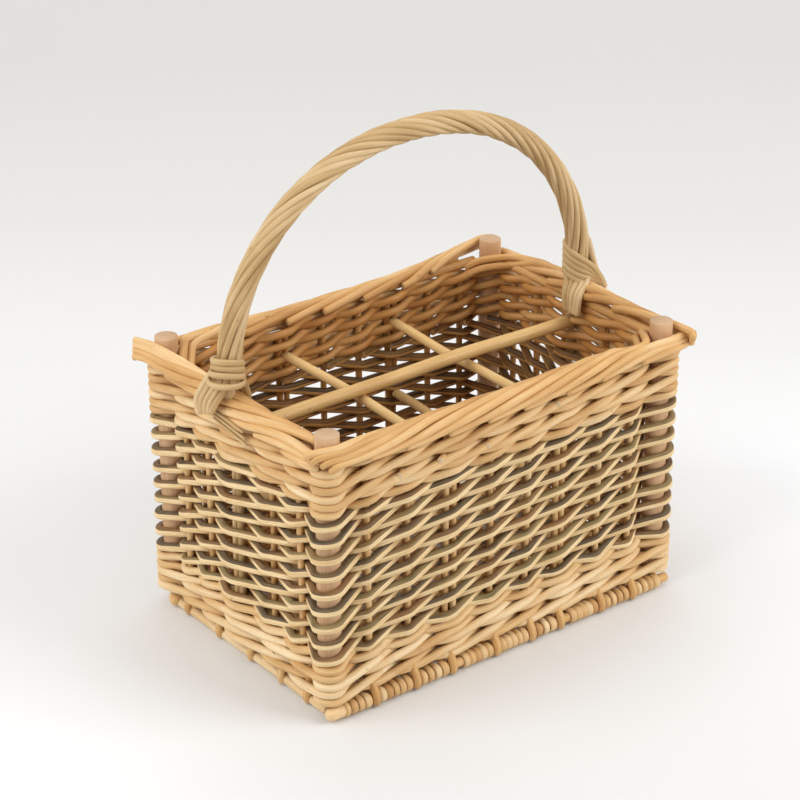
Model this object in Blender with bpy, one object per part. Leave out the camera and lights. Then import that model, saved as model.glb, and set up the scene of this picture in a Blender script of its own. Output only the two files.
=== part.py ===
"""Willow basket for six wine bottles: woven walls, rod dividers, roped bow handle.

Metres, +Z up. X runs along the long side, Y across. The origin is on the floor,
under the middle of the basket.
"""
import math

import bmesh
import bpy
from mathutils import Vector

for old in list(bpy.data.objects):
    bpy.data.objects.remove(old, do_unlink=True)

# Body: corner posts and the plane that the stakes stand in
POST_SPACING_X = 0.288
POST_SPACING_Y = 0.188
POST_DIAMETER = 0.0163
POST_PROUD = 0.0038
POST_CHAMFER = 0.0006
STAKE_DIAMETER = 0.006
STAKE_OUTSET = 0.0025
STAKE_FOOT = 0.001
LONG_STAKE_SHARES = (-0.400, -0.280, -0.160, -0.036, 0.075, 0.178, 0.300, 0.405)
SHORT_STAKE_SHARES = (-0.355, -0.180, 0.021, 0.220, 0.360)
LEG_INDEX = 2
DIVIDER_INDEXES = (2, 5)

# Heights of the woven bands, from the floor up
BASE_HEIGHT = 0.012
BOTTOM_WALE_HEIGHT = 0.030
MID_WEAVE_HEIGHT = 0.110
TOP_WALE_HEIGHT = 0.030
WALE_ROD = 0.0055
WALE_GROOVE = 0.0010
BOTTOM_WALE_ROWS = 3
TOP_WALE_ROWS = 4
WALE_REPEAT = 3
WALE_BEHIND = 1
MID_ROWS = 9
MID_STRAND = 0.0034
MID_ROW_GAP = 0.0044
WEB_WIDTH = 0.005

# Base: sticks along X, with the weave round them. Its top is high under the walls and over each
# inner stick, and dips between. The front stick lies outside the stakes.
BASE_OVERHANG_X = 0.0055
BASE_OVERHANG_BACK = 0.0065
BASE_EDGE_CHAMFER = 0.002
BASE_RIM_WIDTH = 0.0115
BASE_SLOPE = 0.004
BASE_STICK_DIAMETER = 0.007
BASE_STICK_PROUD = 0.002
BASE_STICK_SUNK = 0.001
BASE_WEAVER = 0.0042
BASE_CREST = 0.006
BACK_STICK_INSET = 0.007
INNER_STICK_SHARE = 0.125

# Border: a rolled edge, wide along the sides and narrow round the posts
BORDER_HEIGHT = 0.018
BORDER_INNER = 0.006
BORDER_OUTER = 0.0155
BORDER_CORNER_REACH = 0.019
BORDER_CORNER_RISE = 0.005
BORDER_TURN = 0.016

# Dividers: an upper and a lower grid, the long rod over the cross rods
LONG_ROD_DIAMETER = 0.0095
CROSS_ROD_DIAMETER = 0.0068
UPPER_ROD_DROP = 0.0069
LOWER_CROSS_RISE = 0.068

# Handle: a bow with its legs in the end walls, roping round it and a tie at each foot
BOW_DIAMETER = 0.008
BOW_FLARE = 0.006
BOW_FLARE_RISE = 0.0023
BOW_SPRING_RISE = 0.0108
BOW_HEIGHT = 0.143
BOW_ROUNDNESS = 2.1
ROPING_DIAMETER = 0.0164
ROPING_FOOT_DIAMETER = 0.0174
ROPING_RISE = 0.0028
TIE_ROD = 0.0044
TIE_PITCH = 0.0050
TIE_TURNS = 4
TIE_RISE = 0.005
TAIL_WIDTH = 0.016
TAIL_THICKNESS = 0.0036
OUTER_TAIL_DROP = 0.0072
TAIL_BORDER_GAP = 0.0012

CLEARANCE = 0.0003
TIE_CLEARANCE = 0.0005
OVERRUN = 0.002

# Counts of sides and steps
POST_SIDES = 16
STAKE_SIDES = 8
ROD_SIDES = 12
TUNNEL_SIDES = 10
HANDLE_SIDES = 12
BORDER_SIDES = 10
TIE_SIDES = 6
TIE_STEPS = 24
ARCH_STEPS = 24
LEG_STEPS = 4
WALE_ARC_STEPS = 3
MID_ARC_STEPS = 2
FRONT_EDGE_STEPS = 4
CREST_PASSES = 12

# Angles in degrees, above which an edge stays sharp
ROD_SHARP_ANGLE = 40.0
BAND_SHARP_ANGLE = 30.0
MM_PER_METRE = 1000

HALF_X = POST_SPACING_X / 2
HALF_Y = POST_SPACING_Y / 2
POST_RADIUS = POST_DIAMETER / 2
STAKE_RADIUS = STAKE_DIAMETER / 2
BOW_RADIUS = BOW_DIAMETER / 2
BOTTOM_WALE_START = BASE_HEIGHT + CLEARANCE
MID_WEAVE_START = BOTTOM_WALE_START + BOTTOM_WALE_HEIGHT + CLEARANCE
TOP_WALE_START = MID_WEAVE_START + MID_WEAVE_HEIGHT + CLEARANCE
WALE_TOP = TOP_WALE_START + TOP_WALE_HEIGHT
BORDER_LOW = WALE_TOP + CLEARANCE
BORDER_TOP = BORDER_LOW + BORDER_HEIGHT
POST_TOP = BORDER_TOP + BORDER_CORNER_RISE + POST_PROUD
HANDLE_Y = SHORT_STAKE_SHARES[LEG_INDEX] * POST_SPACING_Y
WALL_X = HALF_X + STAKE_OUTSET
BOW_REACH = WALL_X + BOW_FLARE
BOW_FLARE_TOP = BORDER_TOP + BOW_FLARE_RISE
BOW_SPRING = BORDER_TOP + BOW_SPRING_RISE
BOW_TOP = BOW_SPRING + BOW_HEIGHT
ROPING_FOOT = BORDER_TOP + ROPING_RISE
TIE_FOOT = ROPING_FOOT + TIE_RISE
OUTER_TAIL_END = BORDER_LOW - OUTER_TAIL_DROP
MID_ROW_PITCH = (MID_WEAVE_HEIGHT + MID_ROW_GAP) / MID_ROWS
MID_ROW_HEIGHT = MID_ROW_PITCH - MID_ROW_GAP

# Colour, roughness
MATERIALS = {
    "white_willow": ((0.72, 0.50, 0.28), 0.55),
    "border_willow": ((0.70, 0.43, 0.20), 0.5),
    "handle_willow": ((0.60, 0.45, 0.26), 0.5),
    "split_bark_willow": ((0.24, 0.19, 0.13), 0.6),
    "sanded_post": ((0.66, 0.44, 0.30), 0.6),
    "divider_rod": ((0.62, 0.38, 0.15), 0.45),
}


def material(name):
    """One Principled material for each kind of willow."""
    found = bpy.data.materials.get(name)
    if found:
        return found
    colour, roughness = MATERIALS[name]
    made = bpy.data.materials.new(name)
    made.use_nodes = True
    shader = made.node_tree.nodes["Principled BSDF"]
    shader.inputs["Base Color"].default_value = (*colour, 1.0)
    shader.inputs["Roughness"].default_value = roughness
    shader.inputs["Metallic"].default_value = 0.0
    return made


def add_object(name, bm, kind, sharp_angle=ROD_SHARP_ANGLE):
    """Close a bmesh into a named object with its own material."""
    bmesh.ops.recalc_face_normals(bm, faces=bm.faces)
    mesh = bpy.data.meshes.new(name)
    bm.to_mesh(mesh)
    bm.free()
    mesh.materials.append(material(kind))
    mesh.shade_smooth()
    mesh.set_sharp_from_angle(angle=math.radians(sharp_angle))
    made = bpy.data.objects.new(name, mesh)
    bpy.context.collection.objects.link(made)
    return made


def bridge_rings(bm, rings, closed=False):
    """Join rings of equal count into a skin, with a face on each end or the ends joined."""
    loops = [[bm.verts.new(point) for point in ring] for ring in rings]
    count = len(loops[0])
    pairs = list(zip(loops, loops[1:]))
    if closed:
        pairs.append((loops[-1], loops[0]))
    for first, second in pairs:
        for i in range(count):
            j = (i + 1) % count
            bm.faces.new((first[i], first[j], second[j], second[i]))
    if not closed:
        bm.faces.new(loops[0])
        bm.faces.new(list(reversed(loops[-1])))


def ring_round(centre, across, up, radius, sides):
    """Points of a circle round a centre, in the plane of two unit vectors."""
    points = []
    for i in range(sides):
        turn = 2 * math.pi * i / sides
        points.append(centre + across * (radius * math.cos(turn)) + up * (radius * math.sin(turn)))
    return points


def straight_rod(name, start, end, radius, sides, kind):
    """A round rod between two points along X, Y or Z."""
    along = (end - start).normalized()
    across = Vector((0, 1, 0)) if abs(along.x) > 0.5 else Vector((1, 0, 0))
    up = along.cross(across)
    bm = bmesh.new()
    bridge_rings(bm, [ring_round(spot, across, up, radius, sides) for spot in (start, end)])
    return add_object(name, bm, kind)


def front(u, n, z):
    """A point of the front side, seen from outside: u runs along it, n is the way out."""
    return Vector((u, -n, z))


def right(u, n, z):
    """The same for the right side."""
    return Vector((n, u, z))


def back(u, n, z):
    """The same for the back."""
    return Vector((-u, n, z))


def left(u, n, z):
    """The same for the left side."""
    return Vector((-n, -u, z))


LONG_PLACES = [share * POST_SPACING_X for share in LONG_STAKE_SHARES]
SHORT_PLACES = [share * POST_SPACING_Y for share in SHORT_STAKE_SHARES]
# name, place function, half length, distance out, stake places, index order, is it short
SIDES = (
    ("front", front, HALF_X, HALF_Y, LONG_PLACES, 1, False),
    ("right", right, HALF_Y, HALF_X, SHORT_PLACES, 1, True),
    ("back", back, HALF_X, HALF_Y, LONG_PLACES, -1, False),
    ("left", left, HALF_Y, HALF_X, SHORT_PLACES, -1, True),
)


def side_pins(places, order, short):
    """The stakes of a side, from low u to high u: index, u and radius."""
    pins = []
    for index, place in enumerate(places):
        is_leg = short and index == LEG_INDEX
        pins.append((index, place * order, BOW_RADIUS if is_leg else STAKE_RADIUS))
    return sorted(pins, key=lambda pin: pin[1])


def crest_offset(pin_radius, run, thickness):
    """How far a strand's middle bows out to clear a stake, and its slanted thickness."""
    offset = pin_radius + thickness
    for _ in range(CREST_PASSES):
        slope = math.atan2(offset, run)
        deep = thickness / math.cos(slope)
        offset = (pin_radius + CLEARANCE) / math.cos(slope) + deep / 2
    return offset, deep


def post_wrap(half, out, thickness, target, steps):
    """Points and normals round the outside of the post at +u, from the mitre inwards."""
    radius = POST_RADIUS + CLEARANCE + thickness / 2
    mitre = math.pi / 4 - CLEARANCE / 2 / (POST_RADIUS + CLEARANCE)
    du = target[0] - half
    dn = target[1] - out
    reach = math.hypot(du, dn)
    end = math.atan2(du, dn) + math.acos(min(radius / reach, 1.0))
    step = (mitre - end) / steps
    spread = 1 / math.cos(step / 2)
    wrap = []
    for i in range(steps + 1):
        turn = mitre - i * step
        normal = (math.sin(turn), math.cos(turn))
        middle = (half + radius * spread * normal[0], out + radius * spread * normal[1])
        wrap.append((middle, normal, thickness * spread))
    return wrap


def flipped(stations):
    """The same stations at the other end of the side."""
    return [((-middle[0], middle[1]), (-normal[0], normal[1]), deep)
            for middle, normal, deep in stations]


def sweep_profile(name, place, stations, profile, kind):
    """A band that carries a profile of (share of half thickness, groove, height) along."""
    rings = []
    for middle, normal, deep in stations:
        ring = []
        for side, groove, z in profile:
            off = side * (deep / 2 - groove)
            ring.append(place(middle[0] + normal[0] * off, middle[1] + normal[1] * off, z))
        rings.append(ring)
    bm = bmesh.new()
    bridge_rings(bm, rings)
    return add_object(name, bm, kind, BAND_SHARP_ANGLE)


def wale_profile(start, height, rows):
    """A band of round rods from the end: a bulge outside for each rod, flat inside."""
    pitch = height / rows
    outer = [(1, WALE_GROOVE, start)]
    for row in range(rows):
        outer.append((1, 0.0, start + (row + 0.5) * pitch))
        outer.append((1, WALE_GROOVE, start + (row + 1) * pitch))
    return outer + [(-1, 0.0, start + height), (-1, 0.0, start)]


def wale_band(name, side, start, height, rows):
    """Waling: in front of two stakes, behind one."""
    label, place, half, out, places, order, short = side
    pins = side_pins(places, order, short)
    plane = out + STAKE_OUTSET
    run = min(b[1] - a[1] for a, b in zip(pins, pins[1:])) / 2
    path = []
    for index, u, pin_radius in pins:
        offset, deep = crest_offset(pin_radius, run, WALE_ROD)
        sign = -1 if index % WALE_REPEAT == WALE_BEHIND else 1
        path.append(((u, plane + sign * offset), (0.0, 1.0), deep))
    high = list(reversed(post_wrap(half, out, WALE_ROD, path[-1][0], WALE_ARC_STEPS)))
    low_target = (-path[0][0][0], path[0][0][1])
    low = flipped(post_wrap(half, out, WALE_ROD, low_target, WALE_ARC_STEPS))
    stations = low + path + high
    return sweep_profile(f"{name}_{label}", place, stations, wale_profile(start, height, rows),
                         "white_willow")


def mid_band(side):
    """Open rows that change side at each stake, with a web midway that joins them."""
    label, place, half, out, places, order, short = side
    pins = side_pins(places, order, short)
    plane = out + STAKE_OUTSET
    spots = [-half] + [pin[1] for pin in pins] + [half]
    gaps = list(zip(spots, spots[1:]))
    run = min(b - a for a, b in gaps) / 2 - WEB_WIDTH / 2
    deep_web = MID_STRAND / math.cos(math.atan2(STAKE_RADIUS + MID_STRAND, run))

    # One station for each u: the place in each row, and whether the cell after it is a web
    stations = []
    for gap_index, (a, b) in enumerate(gaps):
        middle = (a + b) / 2
        for edge, web in ((middle - WEB_WIDTH / 2, True), (middle + WEB_WIDTH / 2, False)):
            row_places = [((edge, plane), (0.0, 1.0), deep_web)] * MID_ROWS
            stations.append((row_places, web))
        if gap_index < len(pins):
            index, u, pin_radius = pins[gap_index]
            offset, deep = crest_offset(pin_radius, run, MID_STRAND)
            row_places = []
            for row in range(MID_ROWS):
                sign = 1 if (index + row) % 2 == 0 else -1
                row_places.append(((u, plane + sign * offset), (0.0, 1.0), deep))
            stations.append((row_places, False))
    first = stations[0][0][0][0]
    wrap = post_wrap(half, out, MID_STRAND, (-first[0], first[1]), MID_ARC_STEPS)
    high = [([station] * MID_ROWS, False) for station in reversed(wrap)]
    low = [([station] * MID_ROWS, False) for station in flipped(wrap)]
    stations = low + stations + high

    # Four corners for each station and row: outer low, outer high, inner low, inner high
    bm = bmesh.new()
    grid = []
    for row_places, _ in stations:
        column = []
        for row, (middle, normal, deep) in enumerate(row_places):
            low_z = MID_WEAVE_START + row * MID_ROW_PITCH
            corners = []
            for sign in (1, -1):
                u = middle[0] + normal[0] * sign * deep / 2
                n = middle[1] + normal[1] * sign * deep / 2
                for z in (low_z, low_z + MID_ROW_HEIGHT):
                    corners.append(bm.verts.new(place(u, n, z)))
            column.append(corners)
        grid.append(column)
    last = len(grid) - 2
    for i, (this, then) in enumerate(zip(grid, grid[1:])):
        web = stations[i][1]
        for row in range(MID_ROWS):
            a, b = this[row], then[row]
            bm.faces.new((a[0], b[0], b[1], a[1]))
            bm.faces.new((b[2], a[2], a[3], b[3]))
            top_open = not web or row == MID_ROWS - 1
            bottom_open = not web or row == 0
            if top_open:
                bm.faces.new((a[1], b[1], b[3], a[3]))
            if bottom_open:
                bm.faces.new((b[0], a[0], a[2], b[2]))
            if i == 0:
                bm.faces.new((a[0], a[1], a[3], a[2]))
            if i == last:
                bm.faces.new((b[1], b[0], b[2], b[3]))
            if web and row < MID_ROWS - 1:
                c, d = this[row + 1], then[row + 1]
                bm.faces.new((a[1], b[1], d[0], c[0]))
                bm.faces.new((b[3], a[3], c[2], d[2]))
                bm.faces.new((a[1], c[0], c[2], a[3]))
                bm.faces.new((d[0], b[1], b[3], d[2]))
    return add_object(f"mid_weave_{label}", bm, "split_bark_willow", BAND_SHARP_ANGLE)


def add_posts():
    """Four sanded posts that stand on the base, their ends cut flat."""
    for end, x in (("left", -HALF_X), ("right", HALF_X)):
        for side, y in (("front", -HALF_Y), ("back", HALF_Y)):
            across = Vector((1, 0, 0))
            up = Vector((0, 1, 0))
            levels = ((BASE_HEIGHT + CLEARANCE, POST_RADIUS), (POST_TOP - POST_CHAMFER, POST_RADIUS),
                      (POST_TOP, POST_RADIUS - POST_CHAMFER))
            rings = [ring_round(Vector((x, y, z)), across, up, r, POST_SIDES) for z, r in levels]
            bm = bmesh.new()
            bridge_rings(bm, rings)
            add_object(f"corner_post_{side}_{end}", bm, "sanded_post")


def add_stakes():
    """Upright rods of the walls. The bow's leg takes the middle place of each short side."""
    for label, place, _, out, places, order, short in SIDES:
        number = 0
        for index, u, _ in side_pins(places, order, short):
            if short and index == LEG_INDEX:
                continue
            number += 1
            low = place(u, out + STAKE_OUTSET, STAKE_FOOT)
            high = place(u, out + STAKE_OUTSET, WALE_TOP)
            straight_rod(f"stake_{label}_{number}", low, high, STAKE_RADIUS, STAKE_SIDES,
                         "white_willow")


def base_stick_places():
    """Y of the sticks that run through the base, from the front to the back."""
    stakes = HALF_Y + STAKE_OUTSET + STAKE_RADIUS
    front_stick = stakes + CLEARANCE + BASE_STICK_DIAMETER / 2
    inner = INNER_STICK_SHARE * POST_SPACING_Y
    return (-front_stick, -inner, inner, HALF_Y - BACK_STICK_INSET)


def base_section(woven):
    """The base cut across X, as (y, z) once round. Its woven middle dips, on the top only."""
    front_stick, inner_front, inner_back, _ = base_stick_places()
    middle = BASE_HEIGHT / 2
    dip = BASE_WEAVER / 2 if woven else middle
    slope = BASE_SLOPE
    rim = HALF_Y - BASE_RIM_WIDTH
    top = [(-rim, middle), (-rim + slope, dip)]
    for y in (inner_front, inner_back):
        foot = BASE_CREST / 2 + 2 * slope
        top += [(y - foot, dip), (y - BASE_CREST / 2, middle),
                (y + BASE_CREST / 2, middle), (y + foot, dip)]
    top += [(rim - slope, dip), (rim, middle)]
    back_edge = HALF_Y + BASE_OVERHANG_BACK
    low_edge = middle - BASE_EDGE_CHAMFER
    back_top = [(back_edge - BASE_EDGE_CHAMFER, middle), (back_edge, low_edge)]
    ring = []
    for step in range(FRONT_EDGE_STEPS + 1):
        turn = math.radians(-90 - 180 * step / FRONT_EDGE_STEPS)
        ring.append((front_stick + middle * math.cos(turn), middle + middle * math.sin(turn)))
    ring += [(y, middle + rise) for y, rise in top + back_top]
    ring += [(y, middle - rise) for y, rise in reversed(back_top)]
    return ring


def base_slab():
    """The woven floor before its notches and tunnels."""
    edge = HALF_X + BASE_OVERHANG_X
    rim = HALF_X - BASE_RIM_WIDTH + BASE_SLOPE
    stations = ((edge, BASE_EDGE_CHAMFER, False), (edge - BASE_EDGE_CHAMFER, 0.0, False),
                (rim, 0.0, False), (rim - BASE_SLOPE, 0.0, True))
    halves = [(x, chamfer, woven) for x, chamfer, woven in stations]
    mirrored = [(-x, chamfer, woven) for x, chamfer, woven in stations]
    rings = []
    for x, chamfer, woven in mirrored + halves[::-1]:
        share = 1 - 2 * chamfer / BASE_HEIGHT
        rings.append([Vector((x, y, BASE_HEIGHT / 2 + (z - BASE_HEIGHT / 2) * share))
                      for y, z in base_section(woven)])
    bm = bmesh.new()
    bridge_rings(bm, rings)
    return add_object("base_weave", bm, "white_willow")


def base_notches():
    """A guide block for each stake and each leg of the bow, out through the base's edge."""
    bm = bmesh.new()
    reach = BASE_STICK_DIAMETER + BASE_HEIGHT
    for _, place, half, out, places, order, short in SIDES:
        for _, u, pin_radius in side_pins(places, order, short):
            wide = pin_radius + CLEARANCE
            deep = out + STAKE_OUTSET - wide
            corners = ((u - wide, deep), (u + wide, deep), (u + wide, deep + reach),
                       (u - wide, deep + reach))
            bridge_rings(bm, [[place(x, n, z) for x, n in corners]
                              for z in (-OVERRUN, BASE_HEIGHT + OVERRUN)])
    return add_object("base_notches", bm, "white_willow")


def add_base():
    """The woven floor and the sticks that it is woven on."""
    slab = base_slab()
    stick_radius = BASE_STICK_DIAMETER / 2
    end = HALF_X + BASE_OVERHANG_X
    across = Vector((0, 1, 0))
    up = Vector((0, 0, 1))
    places = base_stick_places()
    cutter_mesh = bmesh.new()
    for number, y in enumerate(places, start=1):
        is_outer = number in (1, len(places))
        reach = end + (BASE_STICK_PROUD if is_outer else -BASE_STICK_SUNK)
        low = Vector((-reach, y, BASE_HEIGHT / 2))
        high = Vector((reach, y, BASE_HEIGHT / 2))
        straight_rod(f"base_stick_{number}", low, high, stick_radius, ROD_SIDES, "border_willow")
        ends = [Vector((sign * (end + OVERRUN), y, BASE_HEIGHT / 2)) for sign in (-1, 1)]
        radius = (stick_radius + CLEARANCE) / math.cos(math.pi / TUNNEL_SIDES)
        bridge_rings(cutter_mesh, [ring_round(spot, across, up, radius, TUNNEL_SIDES)
                                   for spot in ends])
    cutter = add_object("base_tunnels", cutter_mesh, "white_willow")
    cut(slab, cutter, "DIFFERENCE")
    cut(slab, base_notches(), "DIFFERENCE")


def cut(target, cutter, operation):
    """Combine a solid with a guide that isn't part of the basket."""
    cutter.hide_render = True
    cutter.display_type = "WIRE"
    boolean = target.modifiers.new(cutter.name, "BOOLEAN")
    boolean.operation = operation
    boolean.solver = "EXACT"
    boolean.object = cutter


def handle_spot(z):
    """How far out the bow stands at a height below its spring line."""
    if z <= WALE_TOP:
        return WALL_X
    if z >= BOW_FLARE_TOP:
        return BOW_REACH
    share = (z - WALE_TOP) / (BOW_FLARE_TOP - WALE_TOP)
    ease = share * share * (3 - 2 * share)
    return WALL_X + (BOW_REACH - WALL_X) * ease


def arch_spot(angle):
    """A point of the arch, for an angle from 0 at +X over to pi at -X."""
    power = 2 / BOW_ROUNDNESS
    cos_part = math.cos(angle)
    sin_part = max(math.sin(angle), 0.0)
    x = math.copysign(abs(cos_part) ** power, cos_part) * BOW_REACH
    z = BOW_SPRING + (BOW_TOP - BOW_SPRING) * sin_part ** power
    return Vector((x, HANDLE_Y, z))


def arch_angles():
    """Even steps of angle over the arch, from the +X foot to the -X foot."""
    return [math.pi * i / ARCH_STEPS for i in range(ARCH_STEPS + 1)]


def leg_path(foot):
    """The bow's +X leg, from its foot up to just under the spring line."""
    heights = [foot]
    if foot < WALE_TOP:
        heights.append(WALE_TOP)
        rise = BOW_FLARE_TOP - WALE_TOP
        heights += [WALE_TOP + rise * i / LEG_STEPS for i in range(1, LEG_STEPS + 1)]
    return [Vector((handle_spot(z), HANDLE_Y, z)) for z in heights]


def handle_path(foot):
    """The whole middle line of the handle, from the +X foot to the -X foot."""
    leg = leg_path(foot)
    arch = [arch_spot(angle) for angle in arch_angles()]
    other = [Vector((-spot.x, spot.y, spot.z)) for spot in reversed(leg)]
    return leg + arch + other


def planar_frames(path):
    """For a path in an XZ plane: each point with the unit vector across it, in that plane."""
    frames = []
    for i, spot in enumerate(path):
        before = path[max(i - 1, 0)]
        after = path[min(i + 1, len(path) - 1)]
        along = (after - before).normalized()
        frames.append((spot, Vector((along.z, 0, -along.x))))
    return frames


def tube_rings(path, radius_at, sides):
    """Rings of a round tube along a path in an XZ plane."""
    sideways = Vector((0, 1, 0))
    return [ring_round(spot, across, sideways, radius_at(spot), sides)
            for spot, across in planar_frames(path)]


def bow_radius(_):
    """The bow is as thick all along."""
    return BOW_RADIUS


def roping_radius(spot):
    """The roping is a little thicker at its feet."""
    share = min(max((BOW_TOP - spot.z) / (BOW_TOP - BOW_SPRING), 0.0), 1.0)
    return (ROPING_DIAMETER + (ROPING_FOOT_DIAMETER - ROPING_DIAMETER) * share) / 2


def bore_radius(_):
    """The room for the bow, so wide that its flats clear the bow's corners."""
    return (BOW_RADIUS + CLEARANCE) / math.cos(math.pi / HANDLE_SIDES)


def border_section(place, u_at, inner, outer, low, high):
    """One oval ring of the border. u_at gives u for a distance out, which makes a mitre."""
    middle = (inner + outer) / 2
    wide = (outer - inner) / 2
    centre = (low + high) / 2
    tall = (high - low) / 2
    ring = []
    for i in range(BORDER_SIDES):
        turn = 2 * math.pi * (i + 0.5) / BORDER_SIDES
        n = middle + wide * math.cos(turn)
        ring.append(place(u_at(n), n, centre + tall * math.sin(turn)))
    return ring


def add_border():
    """Four bars of rolled border that rise to the posts and fold round them."""
    post_edge = POST_RADIUS + CLEARANCE
    for label, place, half, out, _, _, short in SIDES:
        wide_end = half - post_edge - BORDER_TURN
        spans = ((0.0, 0.0), (wide_end / 2, 0.0), (wide_end, 0.0),
                 (half - post_edge - CLEARANCE, 1.0), (half, 1.0), (None, 1.0))
        rings = []
        for u, turned in spans:
            inner = out - BORDER_INNER * (1 - turned) + post_edge * turned
            outer = out + BORDER_OUTER + (BORDER_CORNER_REACH - BORDER_OUTER) * turned
            along = 1.0 if u is None else u / half
            high = BORDER_TOP + BORDER_CORNER_RISE * along ** 2

            def u_at(n, u=u):
                return half + n - out - CLEARANCE / 2 if u is None else u

            rings.append(border_section(place, u_at, inner, outer, BORDER_LOW, high))
            if u != 0.0:
                def mirror_at(n, at=u_at):
                    return -at(n)
                rings.insert(0, border_section(place, mirror_at, inner, outer, BORDER_LOW, high))
        bm = bmesh.new()
        bridge_rings(bm, rings)
        bar = add_object(f"border_{label}", bm, "border_willow")
        if short:
            cut(bar, leg_cutter(1 if label == "right" else -1, label), "DIFFERENCE")


def leg_cutter(sign, label):
    """The bow's leg with its clearance, as a guide that makes room in the border."""
    path = leg_path(WALE_TOP - OVERRUN)
    top = path[-1] + Vector((0, 0, OVERRUN))
    path = [Vector((sign * spot.x, spot.y, spot.z)) for spot in path + [top]]
    bm = bmesh.new()
    bridge_rings(bm, tube_rings(path, bore_radius, HANDLE_SIDES))
    return add_object(f"leg_room_{label}", bm, "border_willow")


def add_dividers():
    """Two grids of rods that part the basket into six cells."""
    long_radius = LONG_ROD_DIAMETER / 2
    cross_radius = CROSS_ROD_DIAMETER / 2
    step = long_radius + cross_radius + CLEARANCE
    upper = WALE_TOP - UPPER_ROD_DROP
    lower = MID_WEAVE_START + LOWER_CROSS_RISE + step
    run = min(b - a for a, b in zip(SHORT_PLACES, SHORT_PLACES[1:])) / 2 - WEB_WIDTH / 2
    stake_bow, stake_deep = crest_offset(STAKE_RADIUS, run, MID_STRAND)
    leg_bow, leg_deep = crest_offset(BOW_RADIUS, run, MID_STRAND)
    upper_long_end = WALL_X - BOW_RADIUS - CLEARANCE
    upper_cross_end = HALF_Y + STAKE_OUTSET - STAKE_RADIUS - CLEARANCE
    lower_long_end = WALL_X - leg_bow - leg_deep / 2 - CLEARANCE
    lower_cross_end = HALF_Y + STAKE_OUTSET - stake_bow - stake_deep / 2 - CLEARANCE
    levels = (("upper", upper, upper_long_end, upper_cross_end),
              ("lower", lower, lower_long_end, lower_cross_end))
    for level, z, long_end, cross_end in levels:
        straight_rod(f"divider_{level}_long", Vector((-long_end, 0, z)), Vector((long_end, 0, z)),
                     long_radius, ROD_SIDES, "divider_rod")
        for number, index in enumerate(DIVIDER_INDEXES, start=1):
            x = LONG_PLACES[index]
            low = z - step
            straight_rod(f"divider_{level}_cross_{number}", Vector((x, -cross_end, low)),
                         Vector((x, cross_end, low)), cross_radius, ROD_SIDES, "divider_rod")


def tail_slab(name, path, sign):
    """A flat bundle of rod ends that leaves the roping and lies over the border."""
    rings = []
    half_wide = TAIL_WIDTH / 2
    half_thick = TAIL_THICKNESS / 2
    for spot, across in planar_frames([Vector((n, HANDLE_Y, z)) for n, z in path]):
        ring = []
        for wide, thick in ((-1, -1), (1, -1), (1, 1), (-1, 1)):
            point = spot + across * (thick * half_thick) + Vector((0, wide * half_wide, 0))
            ring.append(Vector((sign * point.x, point.y, point.z)))
        rings.append(ring)
    bm = bmesh.new()
    bridge_rings(bm, rings)
    return add_object(name, bm, "handle_willow")


def tail_paths():
    """Middle lines of an outer and an inner tail, as distance out and height."""
    reach = TAIL_THICKNESS / 2 + TAIL_BORDER_GAP
    outer_n = HALF_X + BORDER_OUTER + reach
    inner_n = HALF_X - BORDER_INNER - reach
    wall = ROPING_FOOT_DIAMETER / 2 - TAIL_THICKNESS / 2
    outer_root = BOW_REACH + wall
    inner_root = BOW_REACH - wall
    start = ROPING_FOOT + TAIL_THICKNESS
    shoulder = BORDER_TOP + TAIL_THICKNESS / 2
    border_middle = BORDER_LOW + BORDER_HEIGHT / 2
    outer = ((outer_root, start), ((outer_root + outer_n) / 2, shoulder), (outer_n, border_middle),
             (outer_n, BORDER_LOW), (outer_n - TAIL_BORDER_GAP, OUTER_TAIL_END))
    inner = ((inner_root, start), (inner_n + reach, shoulder), (inner_n, border_middle),
             (inner_n, BORDER_LOW + TAIL_THICKNESS))
    return outer, inner


def add_handle():
    """Bow, roping with its tails, and a tie at each foot."""
    bm = bmesh.new()
    bridge_rings(bm, tube_rings(handle_path(STAKE_FOOT), bow_radius, HANDLE_SIDES))
    add_object("handle_bow", bm, "handle_willow")

    bm = bmesh.new()
    path = handle_path(ROPING_FOOT)
    outer = tube_rings(path, roping_radius, HANDLE_SIDES)
    inner = tube_rings(path, bore_radius, HANDLE_SIDES)
    bridge_rings(bm, outer + inner[::-1], closed=True)
    roping = add_object("handle_roping", bm, "handle_willow")
    outer_tail, inner_tail = tail_paths()
    cut(roping, tail_slab("outer_tail_left", outer_tail, -1), "UNION")
    cut(roping, tail_slab("outer_tail_right", outer_tail, 1), "UNION")
    cut(roping, tail_slab("inner_tail_right", inner_tail, 1), "UNION")

    for label, sign in (("left", -1), ("right", 1)):
        add_tie(label, sign)


def arch_x(z):
    """How far out the handle's middle line is at a height on either leg."""
    if z <= BOW_SPRING:
        return handle_spot(z)
    share = (z - BOW_SPRING) / (BOW_TOP - BOW_SPRING)
    return BOW_REACH * (1 - share ** BOW_ROUNDNESS) ** (1 / BOW_ROUNDNESS)


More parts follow.
